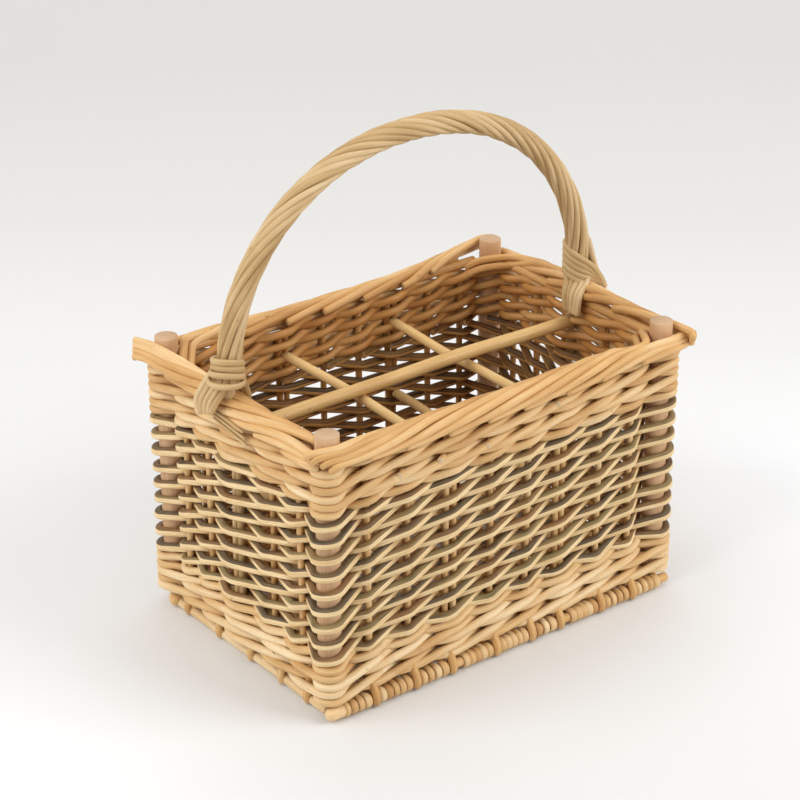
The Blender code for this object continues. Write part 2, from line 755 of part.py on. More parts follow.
def add_tie(label, sign):
    """One rod wound round the foot of the roping, as a single unbroken tube."""
    wind = ROPING_FOOT_DIAMETER / 2 + TIE_CLEARANCE + TIE_ROD / 2
    steps = TIE_TURNS * TIE_STEPS
    path = []
    for i in range(steps + 1):
        turn = 2 * math.pi * i / TIE_STEPS
        z = TIE_FOOT + TIE_ROD / 2 + TIE_PITCH * i / TIE_STEPS
        x = arch_x(z) + wind * math.cos(turn)
        path.append(Vector((sign * x, HANDLE_Y + wind * math.sin(turn), z)))
    rings = []
    for i, spot in enumerate(path):
        along = (path[min(i + 1, steps)] - path[max(i - 1, 0)]).normalized()
        axis = Vector((sign * arch_x(spot.z), HANDLE_Y, spot.z))
        away = (spot - axis).normalized()
        up = along.cross(away)
        rings.append(ring_round(spot, up.cross(along), up, TIE_ROD / 2, TIE_SIDES))
    bm = bmesh.new()
    bridge_rings(bm, rings)
    add_object(f"handle_tie_{label}", bm, "handle_willow")
    least = min((path[i] - path[j]).length for i in range(steps + 1)
                for j in range(i + TIE_STEPS // 2, steps + 1))
    gap = (least - TIE_ROD) * MM_PER_METRE
    print(f"handle_tie_{label}: least gap between turns {gap:.2f} mm")


add_posts()
add_stakes()
add_base()
for wall in SIDES:
    wale_band("bottom_wale", wall, BOTTOM_WALE_START, BOTTOM_WALE_HEIGHT, BOTTOM_WALE_ROWS)
    mid_band(wall)
    wale_band("top_wale", wall, TOP_WALE_START, TOP_WALE_HEIGHT, TOP_WALE_ROWS)
add_border()
add_dividers()
add_handle()
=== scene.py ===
"""Looks of the willow basket: every rod of its walls, border, base, dividers and handle.

Metres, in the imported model's frame: X along the long side, Y across, +Z up.
"""
import math
from collections import namedtuple

import bpy
import numpy as np
from numpy.random import default_rng
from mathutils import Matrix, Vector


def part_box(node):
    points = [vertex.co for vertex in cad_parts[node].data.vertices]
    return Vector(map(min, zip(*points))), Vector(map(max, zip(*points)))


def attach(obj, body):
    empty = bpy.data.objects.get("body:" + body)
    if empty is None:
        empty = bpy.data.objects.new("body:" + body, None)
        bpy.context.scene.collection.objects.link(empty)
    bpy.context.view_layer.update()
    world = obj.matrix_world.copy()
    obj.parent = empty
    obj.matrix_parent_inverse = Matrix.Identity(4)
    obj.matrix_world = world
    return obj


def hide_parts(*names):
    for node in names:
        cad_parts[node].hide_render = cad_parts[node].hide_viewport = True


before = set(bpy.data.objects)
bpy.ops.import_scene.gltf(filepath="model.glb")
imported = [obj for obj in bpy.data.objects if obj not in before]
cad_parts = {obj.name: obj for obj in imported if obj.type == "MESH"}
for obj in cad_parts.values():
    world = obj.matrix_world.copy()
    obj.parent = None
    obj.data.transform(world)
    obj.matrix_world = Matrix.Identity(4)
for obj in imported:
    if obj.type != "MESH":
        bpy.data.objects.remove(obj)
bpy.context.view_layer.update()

UP = np.array((0.0, 0.0, 1.0))
MM = 1000.0

# All rods: points along them, sides round them, and their ends. A rim is the share of the
# radius that the cut face keeps and the share of it that the face stands out.
ROD_SIDES = 10
ROD_STEP = 0.003
STRAIGHT_STEP = 0.006
SAME_PLACE = 1e-7
LARGEST_TRIM_SHARE = 0.48
SHARP_ANGLE = math.radians(52)
PLAIN_RIM = (0.86, 0.12)
ROUND_TIP = ((0.9, 0.35, 0.0), (0.62, 0.66, 0.0), (0.28, 0.82, 0.0))

# Posts and stakes. Weavers leave room for the first radius; stakes are drawn thinner.
POST_SIDES = 28
POST_RIM = (0.96, 0.04)
STAKE_RADIUS = 0.0030
STAKE_DRAWN = 0.0024
STAKE_WANDER = 0.0004
FOOT_RISE = 0.0006
PAIR_SPREAD = 0.0031
PAIRED_STAKES = ("stake_front_3", "stake_front_6", "stake_back_3", "stake_back_6")

# Light bands. A weave says for each pin in turn whether its rod passes outside (1) or inside
# (-1), how far it lies above the row's middle, and where it crosses before the next pin.
WALE_RADIUS = 0.0030
WALE_RISE = 0.0030
WALE_CROSS_RISE = 0.0033
WALE_TRIM = 0.012
WALE = ((1, -WALE_RISE, 0.0), (1, WALE_RISE, WALE_CROSS_RISE), (-1, 0.0, -WALE_CROSS_RISE))
PAIR = ((1, 0.0, WALE_CROSS_RISE), (-1, 0.0, -WALE_CROSS_RISE))
# Rows of each band: height above the band's foot, weave, seed, how much lighter
WALE_ROWS = {"top": ((0.0030, PAIR, 31, 0.0), (0.0120, WALE, 32, 0.0),
                     (0.0240, WALE, 33, 0.0), (0.0338, PAIR, 34, 0.0)),
             "bottom": ((0.0060, WALE, 41, 0.30), (0.0180, WALE, 42, 0.30),
                        (0.0270, PAIR, 43, 0.15))}
BUTT_ENDS = ((-0.0943, 0.1681), (-0.0604, 0.1691), (-0.0205, 0.1674), (0.0408, 0.1798))
BUTT_RADIUS = 0.0023

# Split weavers of the middle band: bark on top, pale wood at the sides and below. The
# outline goes round the section in millimetres out and up, with 1 where there is bark.
SPLIT_OUTLINE = np.array(((-2.0, -2.4, 0), (0.0, -2.6, 0), (1.9, -2.7, 0), (2.50, -2.2, 0),
                          (2.70, -0.8, 0), (2.55, 0.70, 0), (2.45, 0.95, 1), (2.0, 1.65, 1),
                          (1.1, 2.20, 1), (-0.1, 2.45, 1), (-1.3, 2.15, 1), (-2.1, 1.35, 1),
                          (-2.50, 0.35, 1), (-2.57, 0.10, 0), (-2.5, -1.7, 0)))
SPLIT_SIZES = (1.00, 1.14)
SPLIT_ROLL = math.radians(5)
SPLIT_ROLL_GAIN = math.radians(16)
SPLIT_FRONT = 0.0022
SPLIT_BEHIND = 0.0024
SPLIT_EARLY = 0.0028
SPLIT_POST_GAP = 0.0006
SPLIT_TRIM = 0.0024
SPLIT_STEP = 0.0020
SPLIT_CLIMB = 0.0006
SPLIT_FIRST_RISE = 0.0040
SPLIT_TAIL_DROP = 0.002
SPLIT_TOP_ROOM = 0.003
MID_ROWS = 9
MID_ROW_GAP = 0.0044
FIBRE_SHARE = 0.22
FIBRE_RADIUS = 0.00036
FIBRE_ROOT = 0.0018
FIBRE_LENGTHS = (0.0016, 0.0030)
FIBRE_LEAST_OUT = 0.006
FIBRE_POST_ROOM = 0.015

# Border: rods side by side, each as long as that many spacings, round an oval in degrees
BORDER_RODS = 5
BORDER_RADIUS = 0.0029
BORDER_SPACING = 0.034
BORDER_HEIGHT = 0.018
BORDER_INNER = 0.0060
BORDER_OUTER = 0.0155
BORDER_TURN_START = -38
BORDER_TURN_SWEEP = 200
BORDER_OUTER_SHARE = 0.60
BORDER_FIRST_SHARE = 0.67
# What differs between the four rims: how far tips stand past the last post, how much higher
# rods lie at the first post, at the last one and in the middle, how much farther out in the
# middle, and the tips at the first post: reach and its gain, distance out and its loss
Rim = namedtuple("Rim", "tip stack_lift end_lift middle_lift middle_out hook")
RIMS = {"front": Rim(0.0170, 0.0, 0.0042, 0.0, 0.0, (0.0040, 0.0140, 0.0176, 0.0142)),
        "right": Rim(0.0035, 0.0020, 0.0020, 0.0070, 0.0025, (0.0120, 0.0070, 0.0195, 0.0055)),
        "back": Rim(0.0060, 0.0050, 0.0020, 0.0, 0.0, (0.0040, 0.0065, 0.0176, 0.0090)),
        "left": Rim(0.0035, 0.0030, 0.0025, 0.0020, 0.0, (0.0120, 0.0070, 0.0195, 0.0055))}
# Rods that turn inside a side's last post: distance along the turn, height over the border's foot
INNER_TURN = ((-0.0180, 0.0165), (0.0, 0.0155), (0.0110, 0.0130), (0.0190, 0.0080))
CORE_OUT = 0.0045
CORE_RISE = 0.0105
CORE_RADIUS = 0.0036

# Base: flat weavers over and under the sticks, in bundles between the stakes' feet
BASE_STRAND_WIDE = 0.0026
BASE_STRAND_THIN = 0.0012
BASE_FOOT_ROOM = 0.0070
EDGE_ROD = 0.0036
FOOT_RADIUS = 0.0029
FRONT_FOOT_OUT = 0.0112
SIDE_FOOT_OUT = 0.0044
KNOB_RADIUS = 0.0047
KNOB_LENGTH = 0.011
LEFT_FEET = (0.0699, 0.0301, -0.0086, -0.0454, -0.0759)

# Handle: the legs are thinner low down, and a stake stands beside each
LEG_RADIUS = 0.0027
LEG_MATE = 0.0056
LEG_MATE_FOOT = 0.013
LEG_GAP = 0.0006
ARCH_ROUNDNESS = 2.1
SPRING_ABOVE_BORDER = 0.0108
FLARE_ABOVE_BORDER = 0.0023
ROPING_RODS = 9
ROPING_ROD = 0.00235
ROPING_REACH = 0.0083
ROPING_FLARE = 0.0006
ROPING_FLARE_LENGTH = 0.03
ROPING_FOOT_RISE = 0.0095
ROPING_TURN_MIDDLE = 0.115
ROPING_TURN_ENDS = 0.230
# One strand of the right tie, from its foot's middle, and how much of a strand's drop each
# point takes
RIGHT_TIE = ((0.0070, 0.0085, 0.2325, 1.0), (-0.0060, 0.0105, 0.2345, 1.0),
             (-0.0108, 0.0020, 0.2320, 1.0), (-0.0064, -0.0088, 0.2262, 0.92),
             (0.0035, -0.0125, 0.2190, 0.62), (0.0088, -0.0165, 0.2100, 0.22),
             (0.0082, -0.0212, 0.2050, 0.0))
# Rod ends at the feet: how many, their radius, and the first and the last one's route in
# millimetres. The right ones go from the middle of their foot.
FANS = {
    "left_outer": (5, 0.0022,
                   ((-158.5, 12.0, 220.0), (-163.5, 16.5, 209.0), (-168.2, 20.8, 196.5),
                    (-167.2, 17.5, 187.6)),
                   ((-153.5, -1.0, 220.0), (-157.2, 0.2, 209.8), (-165.5, 3.4, 199.2),
                    (-166.8, 4.6, 193.0))),
    "left_inner": (2, 0.0024,
                   ((-145.0, 8.0, 218.0), (-140.0, 10.0, 206.0), (-137.2, 11.0, 196.0)),
                   ((-145.0, 2.0, 218.0), (-140.0, 3.0, 206.0), (-137.2, 4.0, 196.0))),
    "left_thin": (3, 0.0010,
                  ((-160.5, 13.0, 190.0), (-160.0, -2.0, 188.5), (-159.0, -20.0, 186.0)),
                  ((-160.0, 12.0, 184.0), (-159.0, -6.0, 180.0), (-158.0, -23.0, 177.0))),
    "right_inner": (5, 0.0023,
                    ((-7.0, 3.0, 216.0), (-9.8, 1.0, 206.0), (-15.8, -4.0, 201.0),
                     (-17.2, -7.8, 188.5)),
                    ((3.0, -8.5, 216.0), (-2.0, -12.5, 205.5), (-13.0, -17.2, 203.0),
                     (-16.6, -19.0, 187.5))),
    "right_outer": (4, 0.0022,
                    ((5.0, 4.0, 244.0), (7.8, -1.0, 224.0), (7.4, -7.5, 208.5),
                     (7.0, -9.0, 204.5)),
                    ((4.0, -5.0, 238.0), (6.2, -9.5, 222.0), (7.4, -15.0, 208.0),
                     (7.0, -16.5, 204.0))),
}

# Colours of the split rods and the posts
BARK_OLIVE = (0.260, 0.195, 0.085)
BARK_RED = (0.265, 0.138, 0.052)
BARK_DARK = (0.112, 0.082, 0.049)
BARK_STREAK = (0.40, 0.28, 0.14)
BARK_PATCH = (0.040, 0.026, 0.015)
SPLIT_DARK = (0.63, 0.395, 0.150)
SPLIT_LIGHT = (0.92, 0.74, 0.45)
SPLIT_FLECK = (0.50, 0.30, 0.12)
SPLIT_CUT = (0.78, 0.60, 0.38)
POST_DARK = (0.57, 0.335, 0.175)
POST_LIGHT = (0.69, 0.455, 0.275)
POST_FLECK = (0.48, 0.28, 0.15)
POST_CUT_DARK = (0.56, 0.37, 0.225)
POST_CUT_LIGHT = (0.64, 0.455, 0.30)

# Painted shade on the walls' inner faces, darker and redder where little light reaches and
# light bounces between the rods: how much of each colour is left there, how deep they lie
# inside the posts' centres, and the heights between which this sets in
INSIDE_SHADE_TINT = (0.70, 0.51, 0.31)
INSIDE_SHADE_DEPTH = 0.0055
INSIDE_SHADE_HEIGHTS = (0.006, 0.012)

# Studio: plan directions away from the camera and to its right, the floor's colours beside
# the basket, behind it and before it, of which the two darker ones are painted shade, the
# floor's size and the lights
AHEAD = np.array((0.609, 0.793))
ACROSS = np.array((0.793, -0.609))
PAPER = (0.815, 0.822, 0.833)
PAPER_FAR_SHADE = (0.725, 0.722, 0.714)
PAPER_NEAR_SHADE = (0.722, 0.727, 0.732)
FLOOR_SIZE = 6.0
FLOOR_WIDTH = 14.0
FLOOR_BEND = 1.2
SKY_COLOUR = (1.0, 0.995, 0.985, 1.0)
SKY_STRENGTH = 0.445
PANEL_COLOUR = (1.0, 0.985, 0.96)
PANELS = (("panel_left", (-2.0, 0.35, 1.5), (2.2, 2.0), 39.0),
          ("panel_right", (1.35, -1.75, 1.4), (1.8, 1.8), 41.5),
          ("panel_top", (0.2, 0.6, 2.4), (2.4, 2.4), 17.0))
CAMERA_LENS = 113.06
CAMERA_SENSOR = 36.0
CAMERA_SPOT = (-0.97233, -1.25029, 0.92824)
CAMERA_AIM = (0.546797, 0.712942, -0.439007)

Pin = namedtuple("Pin", "kind spots radius outward side")


def box_middle(node):
    """The middle of a node's box, as an array."""
    low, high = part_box(node)
    return (np.array(low) + np.array(high)) / 2


def box_low(node):
    """The lowest corner of a node's box."""
    return np.array(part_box(node)[0])


def box_high(node):
    """The highest corner of a node's box."""
    return np.array(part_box(node)[1])


SIDES = {
    "front": (np.array((1.0, 0.0)), np.array((0.0, -1.0)), 8),
    "right": (np.array((0.0, 1.0)), np.array((1.0, 0.0)), 4),
    "back": (np.array((-1.0, 0.0)), np.array((0.0, 1.0)), 8),
    "left": (np.array((0.0, -1.0)), np.array((-1.0, 0.0)), 4),
}
POST = box_middle("corner_post_back_right")
POST_RADIUS = (box_high("corner_post_back_right")[0] - box_low("corner_post_back_right")[0]) / 2
HALF = {side: abs(along @ POST[:2]) for side, (along, _, _) in SIDES.items()}
OUT = {side: abs(outward @ POST[:2]) for side, (_, outward, _) in SIDES.items()}
WALL_OUTSET = box_middle("stake_back_1")[1] - POST[1]
WALL = {side: out + WALL_OUTSET for side, out in OUT.items()}
MID_LOW = box_low("mid_weave_front")[2]
MID_HIGH = box_high("mid_weave_front")[2]
MID_PITCH = (MID_HIGH - MID_LOW + MID_ROW_GAP) / MID_ROWS
WALE_TOP = box_high("top_wale_front")[2]
BORDER_LOW = box_low("border_front")[2]
BORDER_CORNER_TOP = box_high("border_front")[2]
BORDER_TOP = BORDER_LOW + BORDER_HEIGHT
HANDLE_Y = box_middle("handle_bow")[1]
BOW_RADIUS = (box_high("handle_bow")[1] - box_low("handle_bow")[1]) / 2
BOW_REACH = box_high("handle_bow")[0] - BOW_RADIUS
BOW_TOP = box_high("handle_bow")[2] - BOW_RADIUS
BOW_SPRING = BORDER_TOP + SPRING_ABOVE_BORDER
BOW_FLARE_TOP = BORDER_TOP + FLARE_ABOVE_BORDER
STICKS = [f"base_stick_{number}" for number in range(1, 5)]
STICK_Y = [box_middle(name)[1] for name in STICKS]
STICK_Z = box_middle(STICKS[0])[2]
STICK_RADIUS = (box_high(STICKS[0])[2] - box_low(STICKS[0])[2]) / 2
STRAND_GAP = STICK_RADIUS + BASE_STRAND_THIN


def place(side, u, n, z):
    """A point of a side, seen from outside: u runs along it, n is the distance out."""
    along, outward, _ = SIDES[side]
    plan = along * u + outward * n
    return np.array((plan[0], plan[1], z))


def stake_spots(side, number):
    """A stake's node, its place along the side, and the plan points of its rods."""
    along, outward, _ = SIDES[side]
    node = f"stake_{side}_{number}"
    u = box_middle(node)[:2] @ along
    spread = (-PAIR_SPREAD, PAIR_SPREAD) if node in PAIRED_STAKES else (0.0,)
    return node, u, [along * (u + shift) + outward * WALL[side] for shift in spread]


def side_pins(side):
    """The uprights of one side in order, then the post at its end."""
    along, outward, count = SIDES[side]
    pins = []
    for number in range(1, count + 1):
        _, u, spots = stake_spots(side, number)
        pins.append((u, Pin("stake", spots, STAKE_RADIUS, outward, side)))
    if side in ("left", "right"):
        u = along[1] * HANDLE_Y
        mate = u + along[1] * (BOW_RADIUS + STAKE_RADIUS + LEG_GAP)
        spots = [along * spot + outward * WALL[side] for spot in sorted((u, mate))]
        pins.append((u, Pin("leg", spots, BOW_RADIUS, outward, side)))
    pins.sort(key=lambda entry: entry[0])
    corner = along * HALF[side] + outward * OUT[side]
    diagonal = (along + outward) / math.sqrt(2)
    pins.append((HALF[side], Pin("post", [corner], POST_RADIUS, diagonal, side)))
    return [pin for _, pin in pins]


PINS = [pin for side in SIDES for pin in side_pins(side)]
ARC_ANGLES = [math.radians(angle) for angle in (-42, -21, 0, 21, 42)]


def turned(vector, angle):
    """A plan vector turned counter-clockwise."""
    c, s = math.cos(angle), math.sin(angle)
    return np.array((c * vector[0] - s * vector[1], s * vector[0] + c * vector[1]))


def passing(pin, way, gap):
    """Plan points where a strand passes a pin: way is 1 outside and -1 inside."""
    reach = pin.radius + gap
    if pin.kind != "post":
        return [spot + pin.outward * way * reach for spot in pin.spots]
    if way > 0:
        return [pin.spots[0] + turned(pin.outward, angle) * reach for angle in ARC_ANGLES]
    return [pin.spots[0] - pin.outward * reach]


def halfway(pin, after):
    """The plan point in the wall midway between two neighbouring pins."""
    return (pin.spots[-1] + after.spots[0]) / 2


def eased(points, trim, step=ROD_STEP):
    """A polyline with its corners rounded and its points evenly spaced."""
    points = np.asarray(points, dtype=float)
    soft = [points[0]]
    for before, corner, after in zip(points, points[1:], points[2:]):
        back = before - corner
        ahead = after - corner
        start = corner + back * min(trim / np.linalg.norm(back), LARGEST_TRIM_SHARE)
        end = corner + ahead * min(trim / np.linalg.norm(ahead), LARGEST_TRIM_SHARE)
        for t in (0.0, 0.25, 0.5, 0.75, 1.0):
            soft.append(start * (1 - t) ** 2 + corner * 2 * t * (1 - t) + end * t * t)
    soft.append(points[-1])
    return even(np.array(soft), step)


def gone_along(points):
    """How far along its line each point is."""
    steps = np.linalg.norm(np.diff(points, axis=0), axis=1)
    return np.concatenate(([0.0], np.cumsum(steps)))


def even(points, step):
    """The same line with a point about every step."""
    points = points[np.concatenate(([True], np.diff(gone_along(points)) > SAME_PLACE))]
    along = gone_along(points)
    count = max(int(round(along[-1] / step)), 2)
    spots = np.linspace(0.0, along[-1], count + 1)
    return np.stack([np.interp(spots, along, points[:, axis]) for axis in range(3)], axis=1)


def unit(vectors):
    """Vectors brought to length one."""
    return vectors / np.linalg.norm(vectors, axis=-1, keepdims=True)


def tangents(points, closed=False):
    """Directions along a line of points."""
    if closed:
        return unit(np.roll(points, -1, axis=0) - np.roll(points, 1, axis=0))
    ends = np.concatenate((points[:1], points, points[-1:]))
    return unit(ends[2:] - ends[:-2])


def carried_frames(points, lead):
    """Directions across a line that don't turn about it, from a first direction."""
    along = tangents(points)
    across = np.empty_like(points)
    current = np.asarray(lead, dtype=float)
    for i, direction in enumerate(along):
        current = current - direction * (current @ direction)
        current = current / np.linalg.norm(current)
        across[i] = current
    return across, np.cross(along, across)


def wall_frames(points, closed=False):
    """Outward and upward directions for a strand that runs round the basket."""
    along = tangents(points, closed)
    outward = unit(np.stack((along[:, 1], -along[:, 0], np.zeros(len(along))), axis=1))
    return outward, np.cross(outward, along)


def smooth_share(value, low, high):
    """How far a value is from low to high, eased, between 0 and 1."""
    share = np.clip((value - low) / (high - low), 0.0, 1.0)
    return share * share * (3 - 2 * share)


def past_posts(points):
    """How far points lie out past the plane of the posts' centres, on either pair of sides."""
    return np.maximum(np.abs(points[:, 0]) - OUT["right"], np.abs(points[:, 1]) - OUT["front"])


def rod(points, radius, rng, tone=0.0, frames=None, closed=False, round_tip=(False, False),
        flat=(1.0, 1.0), sides=ROD_SIDES, rim=PLAIN_RIM):
    """One rod as rings of vertices, with what its material needs. Flat scales its section."""
    points = np.asarray(points, dtype=float)
    count = len(points)
    if frames is None:
        upright = abs(tangents(points)[0][2]) >= 0.8
        frames = carried_frames(points, np.array((1.0, 0.0, 0.0)) if upright else UP)
    across, up = frames
    radii = np.full(count, radius) if np.isscalar(radius) else np.asarray(radius)
    turn = np.linspace(0, 2 * math.pi, sides, endpoint=False)
    shape = np.stack((np.cos(turn) * flat[0], np.sin(turn) * flat[1]), axis=1)
    offsets = across[:, None, :] * shape[None, :, :1] + up[:, None, :] * shape[None, :, 1:]
    rings = points[:, None, :] + offsets * radii[:, None, None]
    texture = np.repeat((shape * radii.mean() * MM)[None], count, axis=0)
    bark = np.zeros((count, sides))
    return finished(rings, points, texture, bark, rng, tone, closed, round_tip, rim)


def split_strand(points, rng, tone):
    """One split strand, bark upward. It rolls a little as it goes inward or outward."""
    outward, up = wall_frames(points)
    inward = -np.gradient(past_posts(points)) / SPLIT_STEP
    inward = np.convolve(np.pad(inward, 3, mode="edge"), np.ones(7) / 7, mode="valid")
    roll = SPLIT_ROLL + SPLIT_ROLL_GAIN * np.clip(inward, -0.35, 0.35)
    c, s = np.cos(roll)[:, None], np.sin(roll)[:, None]
    outward, up = outward * c + up * s, up * c - outward * s
    swell = 1 + 0.07 * np.sin(np.linspace(0, 11, len(points)) + rng.uniform(0, 6))
    size = rng.uniform(*SPLIT_SIZES) * swell[:, None, None] / MM
    shape = SPLIT_OUTLINE[None, :, :2] * size
    rings = (points[:, None, :] + outward[:, None, :] * shape[:, :, :1]
             + up[:, None, :] * shape[:, :, 1:])
    section = np.repeat(SPLIT_OUTLINE[None], len(points), axis=0)
    return finished(rings, points, section[:, :, :2], section[:, :, 2], rng, tone)


def finished(rings, points, texture, bark, rng, tone, closed=False, round_tip=(False, False),
             rim=PLAIN_RIM):
    """Close the rings of one rod: vertices, faces and the values its material reads."""
    spokes = rings[0] - rings[0].mean(axis=0)
    facing = np.cross(spokes, np.roll(spokes, -1, axis=0)).sum(axis=0)
    if facing @ (points[1] - points[0]) < 0:
        rings, texture, bark = rings[:, ::-1], texture[:, ::-1], bark[:, ::-1]
    count, sides = rings.shape[:2]
    along = np.repeat(gone_along(points)[:, None, None] * MM, sides, axis=1)
    grain = np.concatenate((texture, along), axis=2) + rng.uniform(-500, 500, 3)
    look = np.zeros((count, sides, 3))
    look[:, :, 0] = tone
    look[:, :, 1] = bark

    first = np.arange(count * sides).reshape(count, sides)
    nxt = np.roll(first, -1, axis=1)
    verts, grains, looks = [rings.reshape(-1, 3)], [grain.reshape(-1, 3)], [look.reshape(-1, 3)]
    if closed:
        upper, upper_next = np.roll(first, -1, axis=0), np.roll(nxt, -1, axis=0)
        quads = np.stack((first, nxt, upper_next, upper), axis=-1).reshape(-1, 4)
        return verts[0], quads, np.empty((0, 3), int), grains[0], looks[0]
    quads = [np.stack((first[:-1], nxt[:-1], nxt[1:], first[1:]), axis=-1).reshape(-1, 4)]
    triangles = []
    total = count * sides
    for at, other, rounded in ((0, 1, round_tip[0]), (count - 1, count - 2, round_tip[1])):
        ring = rings[at]
        centre = ring.mean(axis=0)
        away = unit(points[at] - points[other])
        reach = np.linalg.norm(ring - centre, axis=1).mean()
        last = first[at]
        mark = look[at].copy()
        levels = ROUND_TIP if rounded else ((*rim, 1.0),)
        for scale, rise, cut in levels:
            mark[:, 2] = cut
            verts.append(centre + (ring - centre) * scale + away * reach * rise)
            grains.append(grain[at])
            looks.append(mark.copy())
            new = np.arange(total, total + sides)
            total += sides
            strip = (last, np.roll(last, -1), np.roll(new, -1), new)
            quads.append(np.stack(strip[::-1] if at == 0 else strip, axis=-1))
            last = new
        verts.append((centre + away * reach * rise)[None])
        grains.append(grain[at].mean(axis=0)[None])
        looks.append(mark[:1])
        fan_faces = np.stack((last, np.roll(last, -1), np.full(sides, total)), axis=-1)
        triangles.append(fan_faces[:, ::-1] if at == 0 else fan_faces)
        total += 1
    return tuple(np.concatenate(part) for part in (verts, quads, triangles, grains, looks))


def piece(name, parts, look, replaced):
    """Rods joined into one named piece that rides with the basket. A look is the name of a
    material slot and the material that dresses it."""
    faces, sizes = [], []
    shift = 0
    for points, quads, triangles, _, _ in parts:
        for block in (quads, triangles):
            faces.append((block + shift).ravel())
            sizes.append(np.full(len(block), block.shape[1]))
        shift += len(points)
    corners = np.concatenate(faces).astype(np.int32)
    sizes = np.concatenate(sizes)
    starts = np.concatenate(([0], np.cumsum(sizes)[:-1])).astype(np.int32)
    spots, grains, looks = (np.concatenate([part[index] for part in parts])
                            for index in (0, 3, 4))
    mesh = bpy.data.meshes.new(name)
    mesh.vertices.add(shift)
    mesh.vertices.foreach_set("co", spots.astype(np.float32).ravel())
    mesh.loops.add(len(corners))
    mesh.loops.foreach_set("vertex_index", corners)
    mesh.polygons.add(len(sizes))
    mesh.polygons.foreach_set("loop_start", starts)
    # Painted shade for the walls' inner faces: how far inside the posts' plane a point lies, above
    # the lowest rows.
    painted_inside_shade = (smooth_share(-past_posts(spots), -INSIDE_SHADE_DEPTH, 0.0)
             * smooth_share(spots[:, 2], *INSIDE_SHADE_HEIGHTS))
    for label, kind, field, values in (("rod_painted_shade", "FLOAT", "value", painted_inside_shade),
                                       ("rod_grain", "FLOAT_VECTOR", "vector", grains),
                                       ("rod_look", "FLOAT_VECTOR", "vector", looks)):
        attribute = mesh.attributes.new(label, kind, "POINT")
        attribute.data.foreach_set(field, values.astype(np.float32).ravel())
    mesh.update(calc_edges=True)
    mesh.validate()
    mesh.shade_smooth()
    mesh.set_sharp_from_angle(angle=SHARP_ANGLE)
    mesh.materials.append(look[1])
    made = bpy.data.objects.new(name, mesh)
    bpy.context.collection.objects.link(made)
    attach(made, "root")
    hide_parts(*replaced)


class Nodes:
    """Short calls for building a material's node tree."""

    def __init__(self, name):
        self.material = bpy.data.materials.new(name)
        self.material.use_nodes = True
        self.tree = self.material.node_tree
        self.shader = self.tree.nodes["Principled BSDF"]

    def add(self, kind, **settings):
        """A new node with its settings."""
        node = self.tree.nodes.new(kind)
        for key, value in settings.items():
            setattr(node, key, value)
        return node

    def feed(self, target, value):
        """Link an output to an input, or set a plain value on it."""
        if isinstance(value, bpy.types.NodeSocket):
            self.tree.links.new(value, target)
        elif value is not None:
            target.default_value = value

    def maths(self, operation, a, b=None, c=None, clamp=False):
        """A Math node's result."""
        node = self.add("ShaderNodeMath", operation=operation, use_clamp=clamp)
        for socket, value in zip(node.inputs, (a, b, c)):
            self.feed(socket, value)
        return node.outputs[0]

    def mix(self, share, a, b, blend="MIX"):
        """Two colours mixed by a share."""
        node = self.add("ShaderNodeMix", data_type="RGBA", blend_type=blend)
        self.feed(node.inputs["Factor"], share)
        for socket, value in ((node.inputs[6], a), (node.inputs[7], b)):
            if isinstance(value, tuple) and len(value) == 3:
                value = (*value, 1.0)
            self.feed(socket, value)
        return node.outputs[2]

    def attribute(self, name, output="Vector"):
        """A vertex attribute that piece() writes."""
        return self.add("ShaderNodeAttribute", attribute_name=name).outputs[output]

    def rod_look(self):
        """A rod's tone, and where it has bark and where it is cut."""
        parts = self.add("ShaderNodeSeparateXYZ")
        self.feed(parts.inputs[0], self.attribute("rod_look"))
        return parts.outputs

    def vector_maths(self, operation, vector, other):
        """A Vector Math node with a plain second vector."""
        node = self.add("ShaderNodeVectorMath", operation=operation)
        self.feed(node.inputs[0], vector)
        self.feed(node.inputs[1], other)
        return node.outputs

    def noise(self, vector, scale, detail=2.0, roughness=0.5):
        """Noise between 0 and 1 about one half, with a scale for each axis."""
        node = self.add("ShaderNodeTexNoise")
        for label, value in (("Scale", 1.0), ("Detail", detail), ("Roughness", roughness),
                             ("Vector", self.vector_maths("MULTIPLY", vector, scale)[0])):
            self.feed(node.inputs[label], value)
        return node.outputs[0]

    def spread(self, value, low, high):
        """A value stretched so that low becomes 0 and high becomes 1."""
        node = self.add("ShaderNodeMapRange")
        for label, part in (("From Min", low), ("From Max", high), ("Value", value)):
            self.feed(node.inputs[label], part)
        return node.outputs[0]

    def marked(self, colour, value, low, high, strength, other):
        """A colour with another one where a value is high, up to a strength."""
        return self.mix(self.maths("MULTIPLY", self.spread(value, low, high), strength),
                        colour, other)

    def finish(self, colour, roughness, specular, inside=0.0):
        """Set the colour and gloss. Inner faces of the walls get painted shade, deeper and redder.
        """
        # Inside is how much of the painted shade on the walls' inner faces this material takes.
        if inside:
            shaded_colour = self.mix(1.0, colour, INSIDE_SHADE_TINT, "MULTIPLY")
            share = self.maths("MULTIPLY", self.attribute("rod_painted_shade", "Fac"), inside)
            colour = self.mix(share, colour, shaded_colour)
        for label, value in (("Base Color", colour), ("Roughness", roughness),
                             ("Specular IOR Level", specular)):
            self.feed(self.shader.inputs[label], value)

    def bump(self, height, strength, distance):
        """A bump from a height."""
        node = self.add("ShaderNodeBump")
        for label, value in (("Strength", strength), ("Distance", distance),
                             ("Height", height)):
            self.feed(node.inputs[label], value)
        self.feed(self.shader.inputs["Normal"], node.outputs[0])


